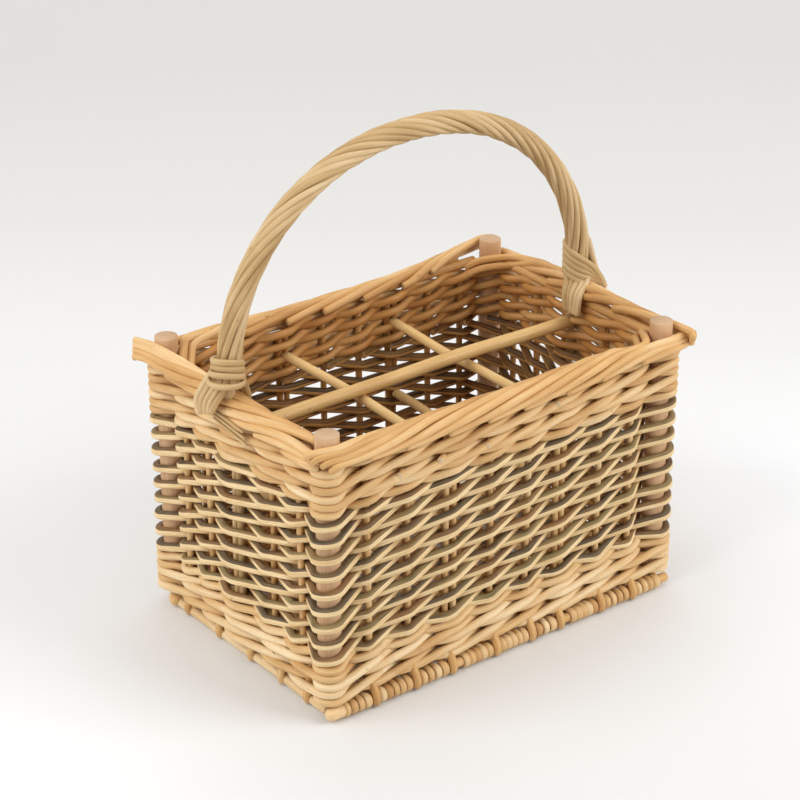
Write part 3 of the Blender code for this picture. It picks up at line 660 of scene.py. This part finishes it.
def willow(name, dark, middle, light, pith, roughness=0.5, freckles=0.6, inside=0.0):
    """Peeled willow: streaks along the rod, slow changes of colour, small freckles."""
    nodes = Nodes(name)
    grain = nodes.attribute("rod_grain")
    tone, _, end = nodes.rod_look()
    slow = nodes.noise(grain, (0.03, 0.03, 0.018))
    streak = nodes.noise(grain, (0.9, 0.9, 0.035), 3.0, 0.6)
    fine = nodes.noise(grain, (3.2, 3.2, 0.12), 2.0, 0.6)
    spots = nodes.noise(grain, (0.42, 0.42, 0.16), 1.0)
    share = nodes.maths("MULTIPLY_ADD", streak, 0.75, -0.37)
    share = nodes.maths("MULTIPLY_ADD", slow, 0.9, share)
    share = nodes.maths("MULTIPLY_ADD", tone, 0.32, share)
    share = nodes.maths("ADD", share, 0.05, clamp=True)
    low = nodes.mix(nodes.spread(share, 0.0, 0.5), dark, middle)
    colour = nodes.mix(nodes.spread(share, 0.5, 1.0), low, light)
    colour = nodes.marked(colour, fine, 0.55, 0.8, 0.35, dark)
    brown = tuple(part * 0.45 for part in dark)
    colour = nodes.marked(colour, spots, 0.74, 0.80, freckles, brown)
    cut = nodes.mix(nodes.spread(fine, 0.3, 0.7), pith, light)
    colour = nodes.mix(nodes.maths("MULTIPLY", end, 0.75), colour, cut)
    # The inside share paints shade on the walls' inner faces.
    nodes.finish(colour, roughness, 0.35, inside)
    nodes.bump(nodes.maths("MULTIPLY_ADD", fine, 0.4, streak), 0.35, 0.0004)
    return name, nodes.material


def split_willow(name):
    """Split willow: olive to red-brown bark on top, pale wood at the sides and below."""
    nodes = Nodes(name)
    grain = nodes.attribute("rod_grain")
    tone, bark_share, end = nodes.rod_look()
    slow = nodes.noise(grain, (0.03, 0.03, 0.012))
    patch = nodes.noise(grain, (0.25, 0.25, 0.045))
    streak = nodes.noise(grain, (1.3, 1.3, 0.04), 3.0, 0.65)
    fine = nodes.noise(grain, (3.5, 3.5, 0.2), 2.0, 0.6)
    hue = nodes.maths("MULTIPLY_ADD", tone, 0.5, slow)
    bark = nodes.mix(nodes.spread(hue, 0.25, 0.55), BARK_OLIVE, BARK_RED)
    bark = nodes.mix(nodes.spread(hue, 0.55, 0.90), bark, BARK_DARK)
    bark = nodes.marked(bark, streak, 0.45, 0.75, 0.6, BARK_STREAK)
    bark = nodes.marked(bark, patch, 0.52, 0.72, 0.6, BARK_PATCH)
    wood = nodes.mix(nodes.spread(streak, 0.30, 0.70), SPLIT_DARK, SPLIT_LIGHT)
    wood = nodes.marked(wood, fine, 0.6, 0.8, 0.4, SPLIT_FLECK)
    side = nodes.maths("ADD", bark_share, nodes.maths("MULTIPLY_ADD", fine, 0.3, -0.15))
    colour = nodes.mix(nodes.spread(side, 0.42, 0.58), wood, bark)
    colour = nodes.mix(nodes.maths("MULTIPLY", end, 0.9), colour, SPLIT_CUT)
    # The last value paints full shade on the walls' inner faces.
    nodes.finish(colour, 0.55, 0.35, 1.0)
    nodes.bump(nodes.maths("MULTIPLY_ADD", fine, 0.5, streak), 0.5, 0.0005)
    return name, nodes.material


def post_wood(name):
    """Sanded round wood with fine upright grain and a plain cut end."""
    nodes = Nodes(name)
    grain = nodes.attribute("rod_grain")
    streak = nodes.noise(grain, (1.4, 1.4, 0.05), 3.0, 0.6)
    fine = nodes.noise(grain, (4.0, 4.0, 0.3), 2.0, 0.6)
    colour = nodes.mix(nodes.spread(streak, 0.3, 0.7), POST_DARK, POST_LIGHT)
    colour = nodes.marked(colour, fine, 0.55, 0.8, 0.3, POST_FLECK)
    cut = nodes.mix(nodes.spread(fine, 0.3, 0.7), POST_CUT_DARK, POST_CUT_LIGHT)
    # The last value paints a little shade on the posts' inner sides.
    nodes.finish(nodes.mix(nodes.rod_look()[2], colour, cut), 0.6, 0.3, 0.35)
    nodes.bump(streak, 0.2, 0.0003)
    return name, nodes.material


# Inside shares below paint shade on the walls' inner faces.
WHITE = willow("white_willow", (0.42, 0.185, 0.045), (0.71, 0.46, 0.205), (0.90, 0.73, 0.47),
               (0.82, 0.64, 0.40), inside=1.0)
BORDER = willow("border_willow", (0.43, 0.200, 0.055), (0.70, 0.42, 0.165), (0.88, 0.65, 0.37),
                (0.80, 0.60, 0.36), inside=0.45)
KHAKI = willow("handle_willow", (0.31, 0.170, 0.056), (0.56, 0.375, 0.172), (0.78, 0.60, 0.37),
               (0.76, 0.62, 0.48))
DIVIDER = willow("divider_rod", (0.46, 0.24, 0.07), (0.71, 0.46, 0.185), (0.83, 0.61, 0.30),
                 (0.70, 0.50, 0.26), 0.42, 1.0)
SPLIT = split_willow("split_bark_willow")
POST_WOOD = post_wood("sanded_post")


def natural(points, rng, wander):
    """The same line with a slow sideways wander."""
    count = len(points)
    spots = np.linspace(0, 1, count)
    shift = np.zeros((count, 3))
    for wave in (1.0, 2.3):
        phase = rng.uniform(0, 2 * math.pi, 3)
        shift += np.sin(spots[:, None] * wave * 2 * math.pi + phase) * wander / wave
    return points + shift - shift[0]


def straight(start, end, step=STRAIGHT_STEP):
    """Evenly spaced points from one place to another."""
    return even(np.array((start, end), dtype=float), step)


def box_line(node, axis, step=STRAIGHT_STEP, shorter=0.0):
    """A straight line through the middle of a node's box, along one of its axes."""
    ends = np.array((box_middle(node), box_middle(node)))
    ends[:, axis] = box_low(node)[axis], box_high(node)[axis] - shorter
    return even(ends, step)


def make_posts():
    """Four sanded posts with a crisp chamfer and flat tops."""
    for corner in ("front_left", "front_right", "back_left", "back_right"):
        node = f"corner_post_{corner}"
        rng = default_rng(len(corner) * 7 + ord(corner[0]) + ord(corner[-1]))
        line = box_line(node, 2, shorter=POST_RADIUS * POST_RIM[1])
        part = rod(line, POST_RADIUS, rng, sides=POST_SIDES, rim=POST_RIM)
        piece(f"post_{corner}", [part], POST_WOOD, [node])


def make_stakes():
    """The uprights of the walls. A paired upright is two rods side by side."""
    for index, (side, (_, _, count)) in enumerate(SIDES.items()):
        for number in range(1, count + 1):
            rng = default_rng(100 + number + 20 * index)
            node, _, spots = stake_spots(side, number)
            parts = []
            for x, y in spots:
                line = straight((x, y, box_low(node)[2] + FOOT_RISE), (x, y, WALE_TOP))
                line = natural(line, rng, STAKE_WANDER)
                radius = STAKE_DRAWN * rng.uniform(0.94, 1.06)
                parts.append(rod(line, radius, rng, rng.uniform(-0.4, 0.3)))
            piece(f"upright_{side}_{number}", parts, WHITE, [node])


def torn_fibres(bends, rng):
    """Short pale fibres that stand off a split strand where it bends outward."""
    made = []
    for x, y, z in bends:
        out_x, out_y = abs(x) - OUT["right"], abs(y) - OUT["front"]
        if max(out_x, out_y) < FIBRE_LEAST_OUT or min(out_x, out_y) > -FIBRE_POST_ROOM:
            continue
        if rng.random() > FIBRE_SHARE:
            continue
        outward = np.array((np.sign(x) * (out_x > 0), np.sign(y) * (out_y > 0), 0.0))
        start = np.array((x, y, z)) + outward * FIBRE_ROOT - UP * FIBRE_ROOT
        lean = outward * 0.8 + UP * rng.uniform(-1.0, 0.3) + rng.normal(0, 0.4, 3)
        end = start + unit(lean) * rng.uniform(*FIBRE_LENGTHS)
        made.append(rod(straight(start, end, 0.0012), FIBRE_RADIUS, rng, 0.8, sides=5))
    return made


def make_mid_weave():
    """Slanting weave of split rods: each goes before a stake and behind the next, and rises
    by one row every two stakes. One weaver starts at each upright."""
    bands = [f"mid_weave_{side}" for side in SIDES]
    total = len(PINS)
    z = MID_LOW + SPLIT_FIRST_RISE
    for weaver in range(total):
        rng = default_rng(1000 + weaver)
        route = [(*halfway(PINS[weaver - 2], PINS[weaver - 1]), z - SPLIT_TAIL_DROP)]
        for passed in range(-1, 2 * MID_ROWS):
            pin = PINS[(weaver + passed) % total]
            level = min(z + MID_PITCH * max(passed, 0) / 2, MID_HIGH - SPLIT_TOP_ROOM)
            way = -1 if passed % 2 else 1
            gap = SPLIT_BEHIND if way < 0 else SPLIT_FRONT
            spots = passing(pin, way, gap + (SPLIT_POST_GAP if pin.kind == "post" else 0.0))
            if way > 0 and pin.kind != "post":
                spots = [spot - SIDES[pin.side][0] * SPLIT_EARLY for spot in spots]
            jitter = rng.normal(0, 0.0005)
            for index, (x, y) in enumerate(spots):
                climb = (index - (len(spots) - 1) / 2) * SPLIT_CLIMB
                route.append((x, y, level + climb + jitter))
        line = eased(route, SPLIT_TRIM, SPLIT_STEP)
        parts = [split_strand(line, rng, rng.uniform(-0.6, 0.9))]
        parts += torn_fibres(route[2:-2], default_rng(5000 + weaver))
        piece(f"split_weaver_{weaver + 1:02d}", parts, SPLIT, bands)


def row_route(weave, first, z_middle, rng):
    """A closed rod of one row, which passes the pins as its weave says, over and over."""
    route = []
    for number, pin in enumerate(PINS):
        way, rise, crossing = weave[(number - first) % len(weave)]
        jitter = rng.normal(0, 0.0004)
        for spot in passing(pin, way, WALE_RADIUS):
            route.append((*spot, z_middle + rise + jitter))
        if crossing:
            after = PINS[(number + 1) % len(PINS)]
            route.append((*halfway(pin, after), z_middle + crossing))
    return route


def closed_line(route, trim):
    """A closed route with rounded corners, without its repeated last point."""
    start = (np.array(route[0]) + np.array(route[1])) / 2
    loop = [start] + [np.array(spot) for spot in route[1:]] + [np.array(route[0]), start]
    return eased(loop, trim)[:-1]


def wale_row(name, z_middle, weave, bands, seed, lighter=0.0):
    """One row of closed rods, as one piece."""
    rng = default_rng(seed)
    parts = []
    for first in range(len(weave)):
        line = closed_line(row_route(weave, first, z_middle, rng), WALE_TRIM)
        spots = np.linspace(0, 2 * math.pi, len(line), endpoint=False)
        radius = WALE_RADIUS * (1 + 0.05 * np.sin(spots * 3 + rng.uniform(0, 6)))
        tone = rng.uniform(-0.4, 0.5) + lighter
        parts.append(rod(line, radius, rng, tone, wall_frames(line, closed=True), closed=True))
    piece(name, parts, WHITE, bands)


def make_butts():
    """Cut ends of weavers that stand out of the top band."""
    rng = default_rng(950)
    parts = []
    for x, z in BUTT_ENDS:
        root = place("front", x + 0.0080, OUT["front"] + 0.0050, z - 0.0010)
        end = place("front", x, OUT["front"] + 0.0112, z)
        line = straight(root, end, 0.002)
        parts.append(rod(line, BUTT_RADIUS, rng, -0.3, rim=(0.94, 0.06)))
    piece("weaver_butts", parts, WHITE, ["top_wale_front"])


def make_wales():
    """The light bands above and below the split weave."""
    for band, rows in WALE_ROWS.items():
        bands = [f"{band}_wale_{side}" for side in SIDES]
        low = box_low(bands[0])[2]
        for number, (rise, weave, seed, lighter) in enumerate(rows, 1):
            wale_row(f"{band}_wale_row_{number}", low + rise, weave, bands, seed, lighter)


def border_oval(side, u, share):
    """Distance out and height of a rod on the border, by the share of its way it has gone."""
    turn = math.radians(BORDER_TURN_START + BORDER_TURN_SWEEP * share)
    inner, outer = BORDER_RADIUS - BORDER_INNER, BORDER_OUTER - BORDER_RADIUS
    low = BORDER_LOW + BORDER_RADIUS - 0.0035
    aside = min(abs(u) / HALF[side], 1.0) ** 2
    high = BORDER_TOP + (BORDER_CORNER_TOP - BORDER_TOP) * aside
    high += RIMS[side].middle_lift * (1 - aside) - BORDER_RADIUS
    n = (inner + outer) / 2 + (outer - inner) / 2 * math.cos(turn)
    n += RIMS[side].middle_out * (1 - aside)
    return n, (low + high) / 2 + (high - low) / 2 * math.sin(turn)


def border_rod(side, start, length, rng):
    """One bent-over stake end: it comes out low, climbs along the rim and ends inside on top.
    Rods lie in a stack outside the post where a side starts, over the ends of the side
    before. At its end the outer ones pass the post low, and the inner ones turn inside it."""
    half, rim = HALF[side], RIMS[side]
    at_start = np.clip((-half - start) / length / BORDER_FIRST_SHARE, 0.0, 1.0)
    at_end = (half - start) / length
    goes_inside = BORDER_OUTER_SHARE < at_end < 1.0
    turns = goes_inside and side != "left"
    last = min(start + length, half)
    if goes_inside:
        last = half - (0.046 if turns else 0.0035)
    hooked = start < -half + 0.004
    spots = np.arange(max(start, -half if hooked else -half + 0.006), last, 0.004)
    if len(spots) < 3:
        return None
    end_share = min(at_end / BORDER_OUTER_SHARE, 1.0)
    end_out = 0.0160 - 0.0042 * end_share
    line = []
    for u in spots:
        n, z = border_oval(side, u, (u - start) / length)
        first = 1 - np.interp(u, (-half - 0.012, -half + 0.075), (0.0, 1.0))
        n += (0.0173 - 0.0058 * at_start - n) * first
        z += (BORDER_LOW + 0.0108 + rim.stack_lift + 0.0086 * at_start - z) * first
        if not goes_inside:
            final = np.interp(u, (half - 0.070, half), (0.0, 1.0))
            n += (end_out - n) * final
            z += (BORDER_LOW + 0.0032 + rim.end_lift + 0.0090 * end_share - z) * final
        line.append(place(side, u, OUT[side] + n, z))
    if hooked:
        reach, reach_gain, out, out_loss = rim.hook
        reach, out = reach + reach_gain * at_start, OUT[side] + (out - out_loss * at_start)
        z = line[0][2]
        line.insert(0, place(side, -half - reach, out, z - 0.0010))
        line.insert(0, place(side, -half - reach - 0.0008, out - 0.0016, z - 0.0032))
    if turns:
        aside, lower = (0.0116, 0.0) if at_end < 0.8 else (0.0165, 0.0048)
        for along, rise in INNER_TURN:
            u = half - 0.81 * aside + 0.587 * along
            n = -0.587 * aside - 0.81 * along
            line.append(place(side, u, OUT[side] + n, BORDER_LOW + rise - lower))
    elif not goes_inside and start + length > half:
        z = line[-1][2]
        line.append(place(side, half + rim.tip * 0.5, OUT[side] + end_out - 0.0014, z - 0.0002))
        line.append(place(side, half + rim.tip, OUT[side] + end_out - 0.0048, z - 0.0012))
    radius = BORDER_RADIUS * rng.uniform(0.93, 1.06)
    line = eased(line, 0.006)
    thin = 0.84 if hooked else 0.74
    gone = smooth_share(np.linspace(0, 1, len(line)), 0.0, 0.35)
    taper = radius * (thin + (1 - thin) * gone)
    return rod(line, taper, rng, rng.uniform(-0.7, 0.6), round_tip=(hooked, False))


def make_border():
    """The rim of each side: slanting rods over a plain core."""
    for index, side in enumerate(SIDES):
        rng = default_rng(500 + index)
        half = HALF[side]
        length = BORDER_SPACING * BORDER_RODS
        start = -half - length * BORDER_FIRST_SHARE
        parts = []
        while start < half - BORDER_SPACING * 0.5:
            made = border_rod(side, start + rng.normal(0, 0.0012), length, rng)
            if made:
                parts.append(made)
            start += BORDER_SPACING
        core = half - POST_RADIUS - 0.004
        low, high = (place(side, u, OUT[side] + CORE_OUT, BORDER_LOW + CORE_RISE)
                     for u in (-core, core))
        parts.append(rod(straight(low, high), CORE_RADIUS, rng, -0.3))
        piece(f"rim_{side}", parts, BORDER, [f"border_{side}"])


def make_dividers():
    """Two grids of rods with small knots."""
    for level in ("upper", "lower"):
        for kind, axis in (("long", 0), ("cross_1", 1), ("cross_2", 1)):
            node = f"divider_{level}_{kind}"
            rng = default_rng(700 + len(node) * 3 + ord(node[-1]))
            radius = (box_high(node)[2] - box_low(node)[2]) / 2
            line = natural(box_line(node, axis), rng, 0.0006)
            part = rod(line, radius, rng, rng.uniform(-0.2, 0.3))
            piece(f"rod_{level}_{kind}", [part], DIVIDER, [node])


def bow_line(foot, step=ROD_STEP):
    """The handle's middle line from the left foot over to the right foot."""
    arch = []
    power = 2 / ARCH_ROUNDNESS
    for angle in np.linspace(math.pi, 0.0, 90):
        x = math.copysign(abs(math.cos(angle)) ** power, math.cos(angle)) * BOW_REACH
        z = BOW_SPRING + (BOW_TOP - BOW_SPRING) * max(math.sin(angle), 0.0) ** power
        arch.append((x, HANDLE_Y, z))
    leg = []
    for z in np.arange(foot, BOW_SPRING - 0.001, 0.004):
        flare = (BOW_REACH - WALL["left"]) * smooth_share(z, WALE_TOP, BOW_FLARE_TOP)
        leg.append((-WALL["left"] - flare, HANDLE_Y, z))
    other = [(-x, y, z) for x, y, z in leg[::-1]]
    return even(np.array(leg + arch + other), step)


def make_handle():
    """The bow, the thin rods that are twisted round it and the stakes beside its legs."""
    rng = default_rng(900)
    line = bow_line(box_low("handle_bow")[2] + FOOT_RISE)
    thick = np.interp(line[:, 2], (MID_HIGH - 0.004, WALE_TOP), (LEG_RADIUS, BOW_RADIUS))
    piece("bow", [rod(line, thick, rng, 0.0)], KHAKI, ["handle_bow"])

    line = bow_line(BORDER_TOP + ROPING_FOOT_RISE, 0.0025)
    across, up = carried_frames(line, (0.0, 1.0, 0.0))
    along = gone_along(line)
    total = along[-1]
    ends = np.minimum(along, total - along)
    orbit = ROPING_REACH - ROPING_ROD + ROPING_FLARE * np.exp(-ends / ROPING_FLARE_LENGTH)
    middle = np.sin(math.pi * along / total) ** 2
    rate = 1 / ROPING_TURN_ENDS + (1 / ROPING_TURN_MIDDLE - 1 / ROPING_TURN_ENDS) * middle
    turned_by = np.concatenate(([0.0], np.cumsum(rate[1:] * np.diff(along))))
    parts = []
    for number in range(ROPING_RODS):
        turn = 2 * math.pi * (number / ROPING_RODS + turned_by) + rng.normal(0, 0.06)
        path = (line + across * (orbit * np.cos(turn))[:, None]
                + up * (orbit * np.sin(turn))[:, None])
        radius = ROPING_ROD * rng.uniform(0.94, 1.06)
        parts.append(rod(path, radius, rng, rng.uniform(-0.5, 0.5)))
    piece("roping", parts, KHAKI, ["handle_roping"])

    for side in ("left", "right"):
        u = SIDES[side][0][1] * (HANDLE_Y + LEG_MATE)
        line = straight(place(side, u, WALL[side], LEG_MATE_FOOT),
                        place(side, u, WALL[side], WALE_TOP))
        part = rod(natural(line, rng, STAKE_WANDER), STAKE_DRAWN, rng, 0.1)
        piece(f"upright_{side}_beside_leg", [part], WHITE, ["handle_bow"])


def fan(name, foot, rng):
    """Rods side by side, from one route to another that is as long, by their name in FANS."""
    count, radius, first, last = FANS[name]
    first, last = foot + np.array(first) / MM, foot + np.array(last) / MM
    made = []
    for share in np.linspace(0, 1, count):
        route = first + (last - first) * share
        route[1:-1] += rng.normal(0, 0.0003, route[1:-1].shape)
        line = eased(route, 0.006, 0.002)
        made.append(rod(line, radius * rng.uniform(0.93, 1.07), rng, 0.1 + rng.uniform(-0.4, 0.4)))
    return made


def wrapped(line, middle_x, radius, rng, tone, thin):
    """A flattened strand that lies round an upright at middle_x."""
    centre = np.stack((np.full(len(line), middle_x), np.full(len(line), HANDLE_Y), line[:, 2]),
                      axis=1)
    along = tangents(line)
    away = unit(line - centre)
    away = unit(away - along * np.sum(away * along, axis=1, keepdims=True))
    return rod(line, radius, rng, tone, frames=(away, np.cross(along, away)), flat=(thin, 1.0))


def make_left_tie():
    """Four flat turns, the lowest slanting, with rod ends that lie over the border."""
    rng = default_rng(950)
    spots = np.linspace(0.0, 4.0, 97)
    angle = 2 * math.pi * spots + math.radians(52)
    grow = smooth_share(spots, 1.0, 4.0)
    reach_x = 0.0102 + 0.0022 * grow
    reach_y = 0.0102 + 0.0010 * grow
    middle_x = -BOW_REACH - 0.0006 - 0.0020 * grow
    x = middle_x + reach_x * np.cos(angle)
    y = HANDLE_Y + reach_y * np.sin(angle)
    tilt = 0.36 - 0.28 * smooth_share(spots, 2.6, 3.4)
    z = 0.2288 - 0.0046 * spots
    z = z - tilt * ((x - middle_x) * AHEAD[0] + (y - HANDLE_Y) * AHEAD[1])
    line = even(np.stack((x, y, z), axis=1), 0.002)
    tie = wrapped(line, -BOW_REACH, 0.0023, rng, 0.2, 0.68)
    piece("tie_left", [tie], KHAKI, ["handle_tie_left"])
    tails = []
    for name in ("left_outer", "left_inner", "left_thin"):
        tails += fan(name, np.zeros(3), rng)
    piece("tails_left", tails, KHAKI, ["handle_roping"])


def make_right_tie():
    """Strands that fan across the foot to one point, with rod ends inside and outside."""
    rng = default_rng(960)
    foot = np.array((BOW_REACH, HANDLE_Y, 0.0))
    strands = []
    for number in range(5):
        drop = 0.0050 * number
        route = [foot + (x, y, z - drop * share) for x, y, z, share in RIGHT_TIE]
        line = eased(route, 0.007, 0.002)
        strands.append(wrapped(line, BOW_REACH, 0.0024, rng, rng.uniform(-0.1, 0.5), 0.6))
    piece("tie_right", strands, KHAKI, ["handle_tie_right"])
    tails = fan("right_inner", foot, rng) + fan("right_outer", foot, rng)
    piece("tails_right", tails, KHAKI, ["handle_roping"])


def make_sticks():
    """The four sticks that the floor is woven on."""
    rng = default_rng(600)
    for node in STICKS:
        line = box_line(node, 0)
        parts = [rod(line, STICK_RADIUS, rng, rng.uniform(-0.3, 0.2))]
        if node in (STICKS[0], STICKS[-1]):
            end = line[0] + (0.0010, 0.0, 0.0)
            knob = straight(end, end + (KNOB_LENGTH, 0.0, 0.0), 0.002)
            parts.append(rod(knob, KNOB_RADIUS, rng, 0.6, round_tip=(True, False)))
        piece(node.replace("base", "floor"), parts, BORDER, [node])


def edge_places():
    """Where the weavers go round the front stick: bundles between the stakes' feet."""
    edges = [-HALF["front"] + 0.002]
    for pin in PINS[:SIDES["front"][2]]:
        edges += [pin.spots[0][0] - BASE_FOOT_ROOM / 2, pin.spots[-1][0] + BASE_FOOT_ROOM / 2]
    edges.append(HALF["front"] - 0.001)
    places = []
    for low, high in zip(edges[::2], edges[1::2]):
        count = int((high - low) / (BASE_STRAND_WIDE * 1.9))
        pitch = (high - low) / count
        places += [low + pitch * (i + 0.5) for i in range(count)]
    return places


def round_stick(x, y, first_angle):
    """Points half round a stick, clockwise seen from the right."""
    turns = [math.radians(first_angle - 45 * step) for step in range(5)]
    return [(x, y + STRAND_GAP * math.cos(turn), STICK_Z + STRAND_GAP * math.sin(turn))
            for turn in turns]


def floor_strand(edge_x, x, over_first, rng):
    """One flat weaver: round the front stick, over and under the others, round the back one."""
    front, back = STICK_Y[0], STICK_Y[-1]
    sign = 1 if over_first else -1
    route = [(edge_x, front + 0.018, STICK_Z - STRAND_GAP * 0.9)]
    route += round_stick(edge_x, front, -90)
    route.append((x, front + 0.022, STICK_Z + 0.002 * sign))
    for index, y in enumerate(STICK_Y[1:-1]):
        z = STICK_Z + (sign if index % 2 else -sign) * STRAND_GAP
        route += [(x, y - 0.003, z), (x, y + 0.003, z)]
    route.append((x, back - 0.022, STICK_Z - 0.002 * sign))
    route += round_stick(x, back, 90)
    route.append((x, back - 0.018, STICK_Z - STRAND_GAP * 0.9))
    line = eased(route, 0.009, 0.0022)
    wide = BASE_STRAND_WIDE * rng.uniform(0.9, 1.08)
    return rod(line, wide, rng, rng.uniform(-0.6, 0.5),
               frames=carried_frames(line, (1.0, 0.0, 0.0)),
               flat=(1.0, BASE_STRAND_THIN / wide), sides=8)


def foot_route(side, u):
    """A stake's end that curves out over the edge of the base."""
    wall = WALL[side]
    out = wall + (FRONT_FOOT_OUT if side == "front" else SIDE_FOOT_OUT)
    return [place(side, u, n, z) for n, z in ((wall, 0.034), (wall + 0.001, 0.0215),
                                              (out - 0.001, 0.0105), (out, 0.0062),
                                              (out - 0.0016, 0.0030))]


def make_base():
    """The woven floor with its wrapped front edge, the edge rods and the stakes' feet."""
    rng = default_rng(610)
    places = edge_places()
    spread = np.linspace(box_low("base_weave")[0] + 0.006, box_high("base_weave")[0] - 0.006,
                         len(places))
    parts = [floor_strand(edge_x, x, number % 2 == 0, rng)
             for number, (edge_x, x) in enumerate(zip(places, spread))]
    piece("floor_weave", parts, WHITE, ["base_weave"])

    rods = []
    for side in ("right", "back", "left"):
        half = HALF[side] + 0.001
        low, high = (place(side, u, WALL[side] + 0.0010, EDGE_ROD + FOOT_RISE)
                     for u in (-half, half))
        line = natural(straight(low, high), rng, 0.0003)
        rods.append(rod(line, EDGE_ROD, rng, rng.uniform(0.4, 0.7)))
    piece("floor_edge_rods", rods, WHITE, ["base_weave"])

    places = [(pin.side, pin.spots[0] @ SIDES[pin.side][0]) for pin in PINS
              if pin.kind != "post" and pin.side != "left"]
    places += [("left", -y) for y in LEFT_FEET]
    feet = []
    for side, u in places:
        line = eased(foot_route(side, u), 0.006, 0.002)
        feet.append(rod(line, FOOT_RADIUS * rng.uniform(0.92, 1.05), rng, rng.uniform(-0.5, 0.2)))
    piece("stake_feet", feet, BORDER, ["base_weave"])


def paper():
    """The floor's colour: painted light beside the basket, painted shade far behind and before it.
    """
    nodes = Nodes("studio_paper")
    spots = nodes.add("ShaderNodeTexCoord").outputs["Object"]
    reach = nodes.vector_maths("DOT_PRODUCT", spots, (*AHEAD, 0.0))["Value"]
    aside = nodes.vector_maths("DOT_PRODUCT", spots, (*ACROSS, 0.0))["Value"]
    # Painted shade: the floor darker far behind the basket and just before it.
    far = nodes.mix(nodes.spread(reach, 0.20, 0.72), PAPER, PAPER_FAR_SHADE)
    near = nodes.maths("SUBTRACT", 1.0, nodes.spread(reach, -0.35, 0.20))
    colour = nodes.mix(near, far, PAPER_NEAR_SHADE)
    cloud = nodes.maths("MULTIPLY", nodes.noise(spots, (1.2, 1.2, 1.2), 1.0), 0.25)
    colour = nodes.mix(cloud, colour, tuple(part * 1.01 for part in PAPER))
    # Painted light beside the basket, right and left, lifting the basket's cast shadow there.
    right = nodes.maths("SUBTRACT", 1.0, nodes.spread(reach, 0.22, 0.42))
    right = nodes.maths("MULTIPLY", nodes.spread(aside, 0.05, 0.24), right)
    right = nodes.maths("MULTIPLY", nodes.spread(reach, -0.20, 0.10), right)
    left = nodes.spread(nodes.maths("MULTIPLY", aside, -1.0), 0.04, 0.24)
    left = nodes.maths("MULTIPLY", left, near)
    for share, gain in ((right, (1.11, 1.12, 1.14)), (left, (1.14, 1.15, 1.17))):
        colour = nodes.mix(share, colour, nodes.mix(1.0, colour, gain, "MULTIPLY"))
    nodes.finish(colour, 0.9, 0.1)
    return nodes.material


def make_stage():
    """A seamless pale floor that curves up behind the basket."""
    profile = [(-FLOOR_SIZE, 0.0), (FLOOR_BEND, 0.0)]
    for angle in np.linspace(0, math.pi / 2, 16)[1:]:
        profile.append((FLOOR_BEND * (1 + math.sin(angle)), FLOOR_BEND * (1 - math.cos(angle))))
    profile.append((2 * FLOOR_BEND, FLOOR_SIZE))
    verts = [(*(AHEAD * reach + ACROSS * wide), height) for reach, height in profile
             for wide in (-FLOOR_WIDTH / 2, FLOOR_WIDTH / 2)]
    faces = [(2 * i, 2 * i + 1, 2 * i + 3, 2 * i + 2) for i in range(len(profile) - 1)]
    mesh = bpy.data.meshes.new("studio_floor")
    mesh.from_pydata(verts, [], faces)
    mesh.shade_smooth()
    mesh.materials.append(paper())
    floor = bpy.data.objects.new("studio_floor", mesh)
    bpy.context.collection.objects.link(floor)


def vector_angles(aim):
    """Rotation that turns a lamp or camera, which looks down its own -Z, along a direction."""
    x, y, z = aim / np.linalg.norm(aim)
    return (math.acos(-z), 0.0, math.atan2(y, x) - math.pi / 2)


def make_light():
    """Even white surroundings and large soft panels that look at the basket."""
    world = bpy.data.worlds.new("studio")
    bpy.context.scene.world = world
    world.use_nodes = True
    sky = world.node_tree.nodes["Background"]
    sky.inputs["Color"].default_value = SKY_COLOUR
    sky.inputs["Strength"].default_value = SKY_STRENGTH
    for name, spot, size, watts in PANELS:
        lamp = bpy.data.lights.new(name, "AREA")
        lamp.shape = "RECTANGLE"
        lamp.size, lamp.size_y = size
        lamp.energy = watts
        lamp.color = PANEL_COLOUR
        made = bpy.data.objects.new(name, lamp)
        made.location = spot
        made.rotation_euler = vector_angles(np.array((0.0, 0.0, 0.15)) - np.array(spot))
        bpy.context.collection.objects.link(made)


def make_camera():
    """The photograph's viewing angle, from a fit to the basket's corners and post tops."""
    lens = bpy.data.cameras.new("camera")
    lens.lens = CAMERA_LENS
    lens.sensor_width = CAMERA_SENSOR
    camera = bpy.data.objects.new("camera", lens)
    camera.location = CAMERA_SPOT
    camera.rotation_euler = vector_angles(np.array(CAMERA_AIM))
    bpy.context.collection.objects.link(camera)
    bpy.context.scene.camera = camera


make_camera()
make_light()
make_stage()
make_posts()
make_stakes()
make_mid_weave()
make_wales()
make_butts()
make_border()
make_dividers()
make_handle()
make_left_tie()
make_right_tie()
make_sticks()
make_base()

bpy.context.scene.view_settings.view_transform = "Standard"
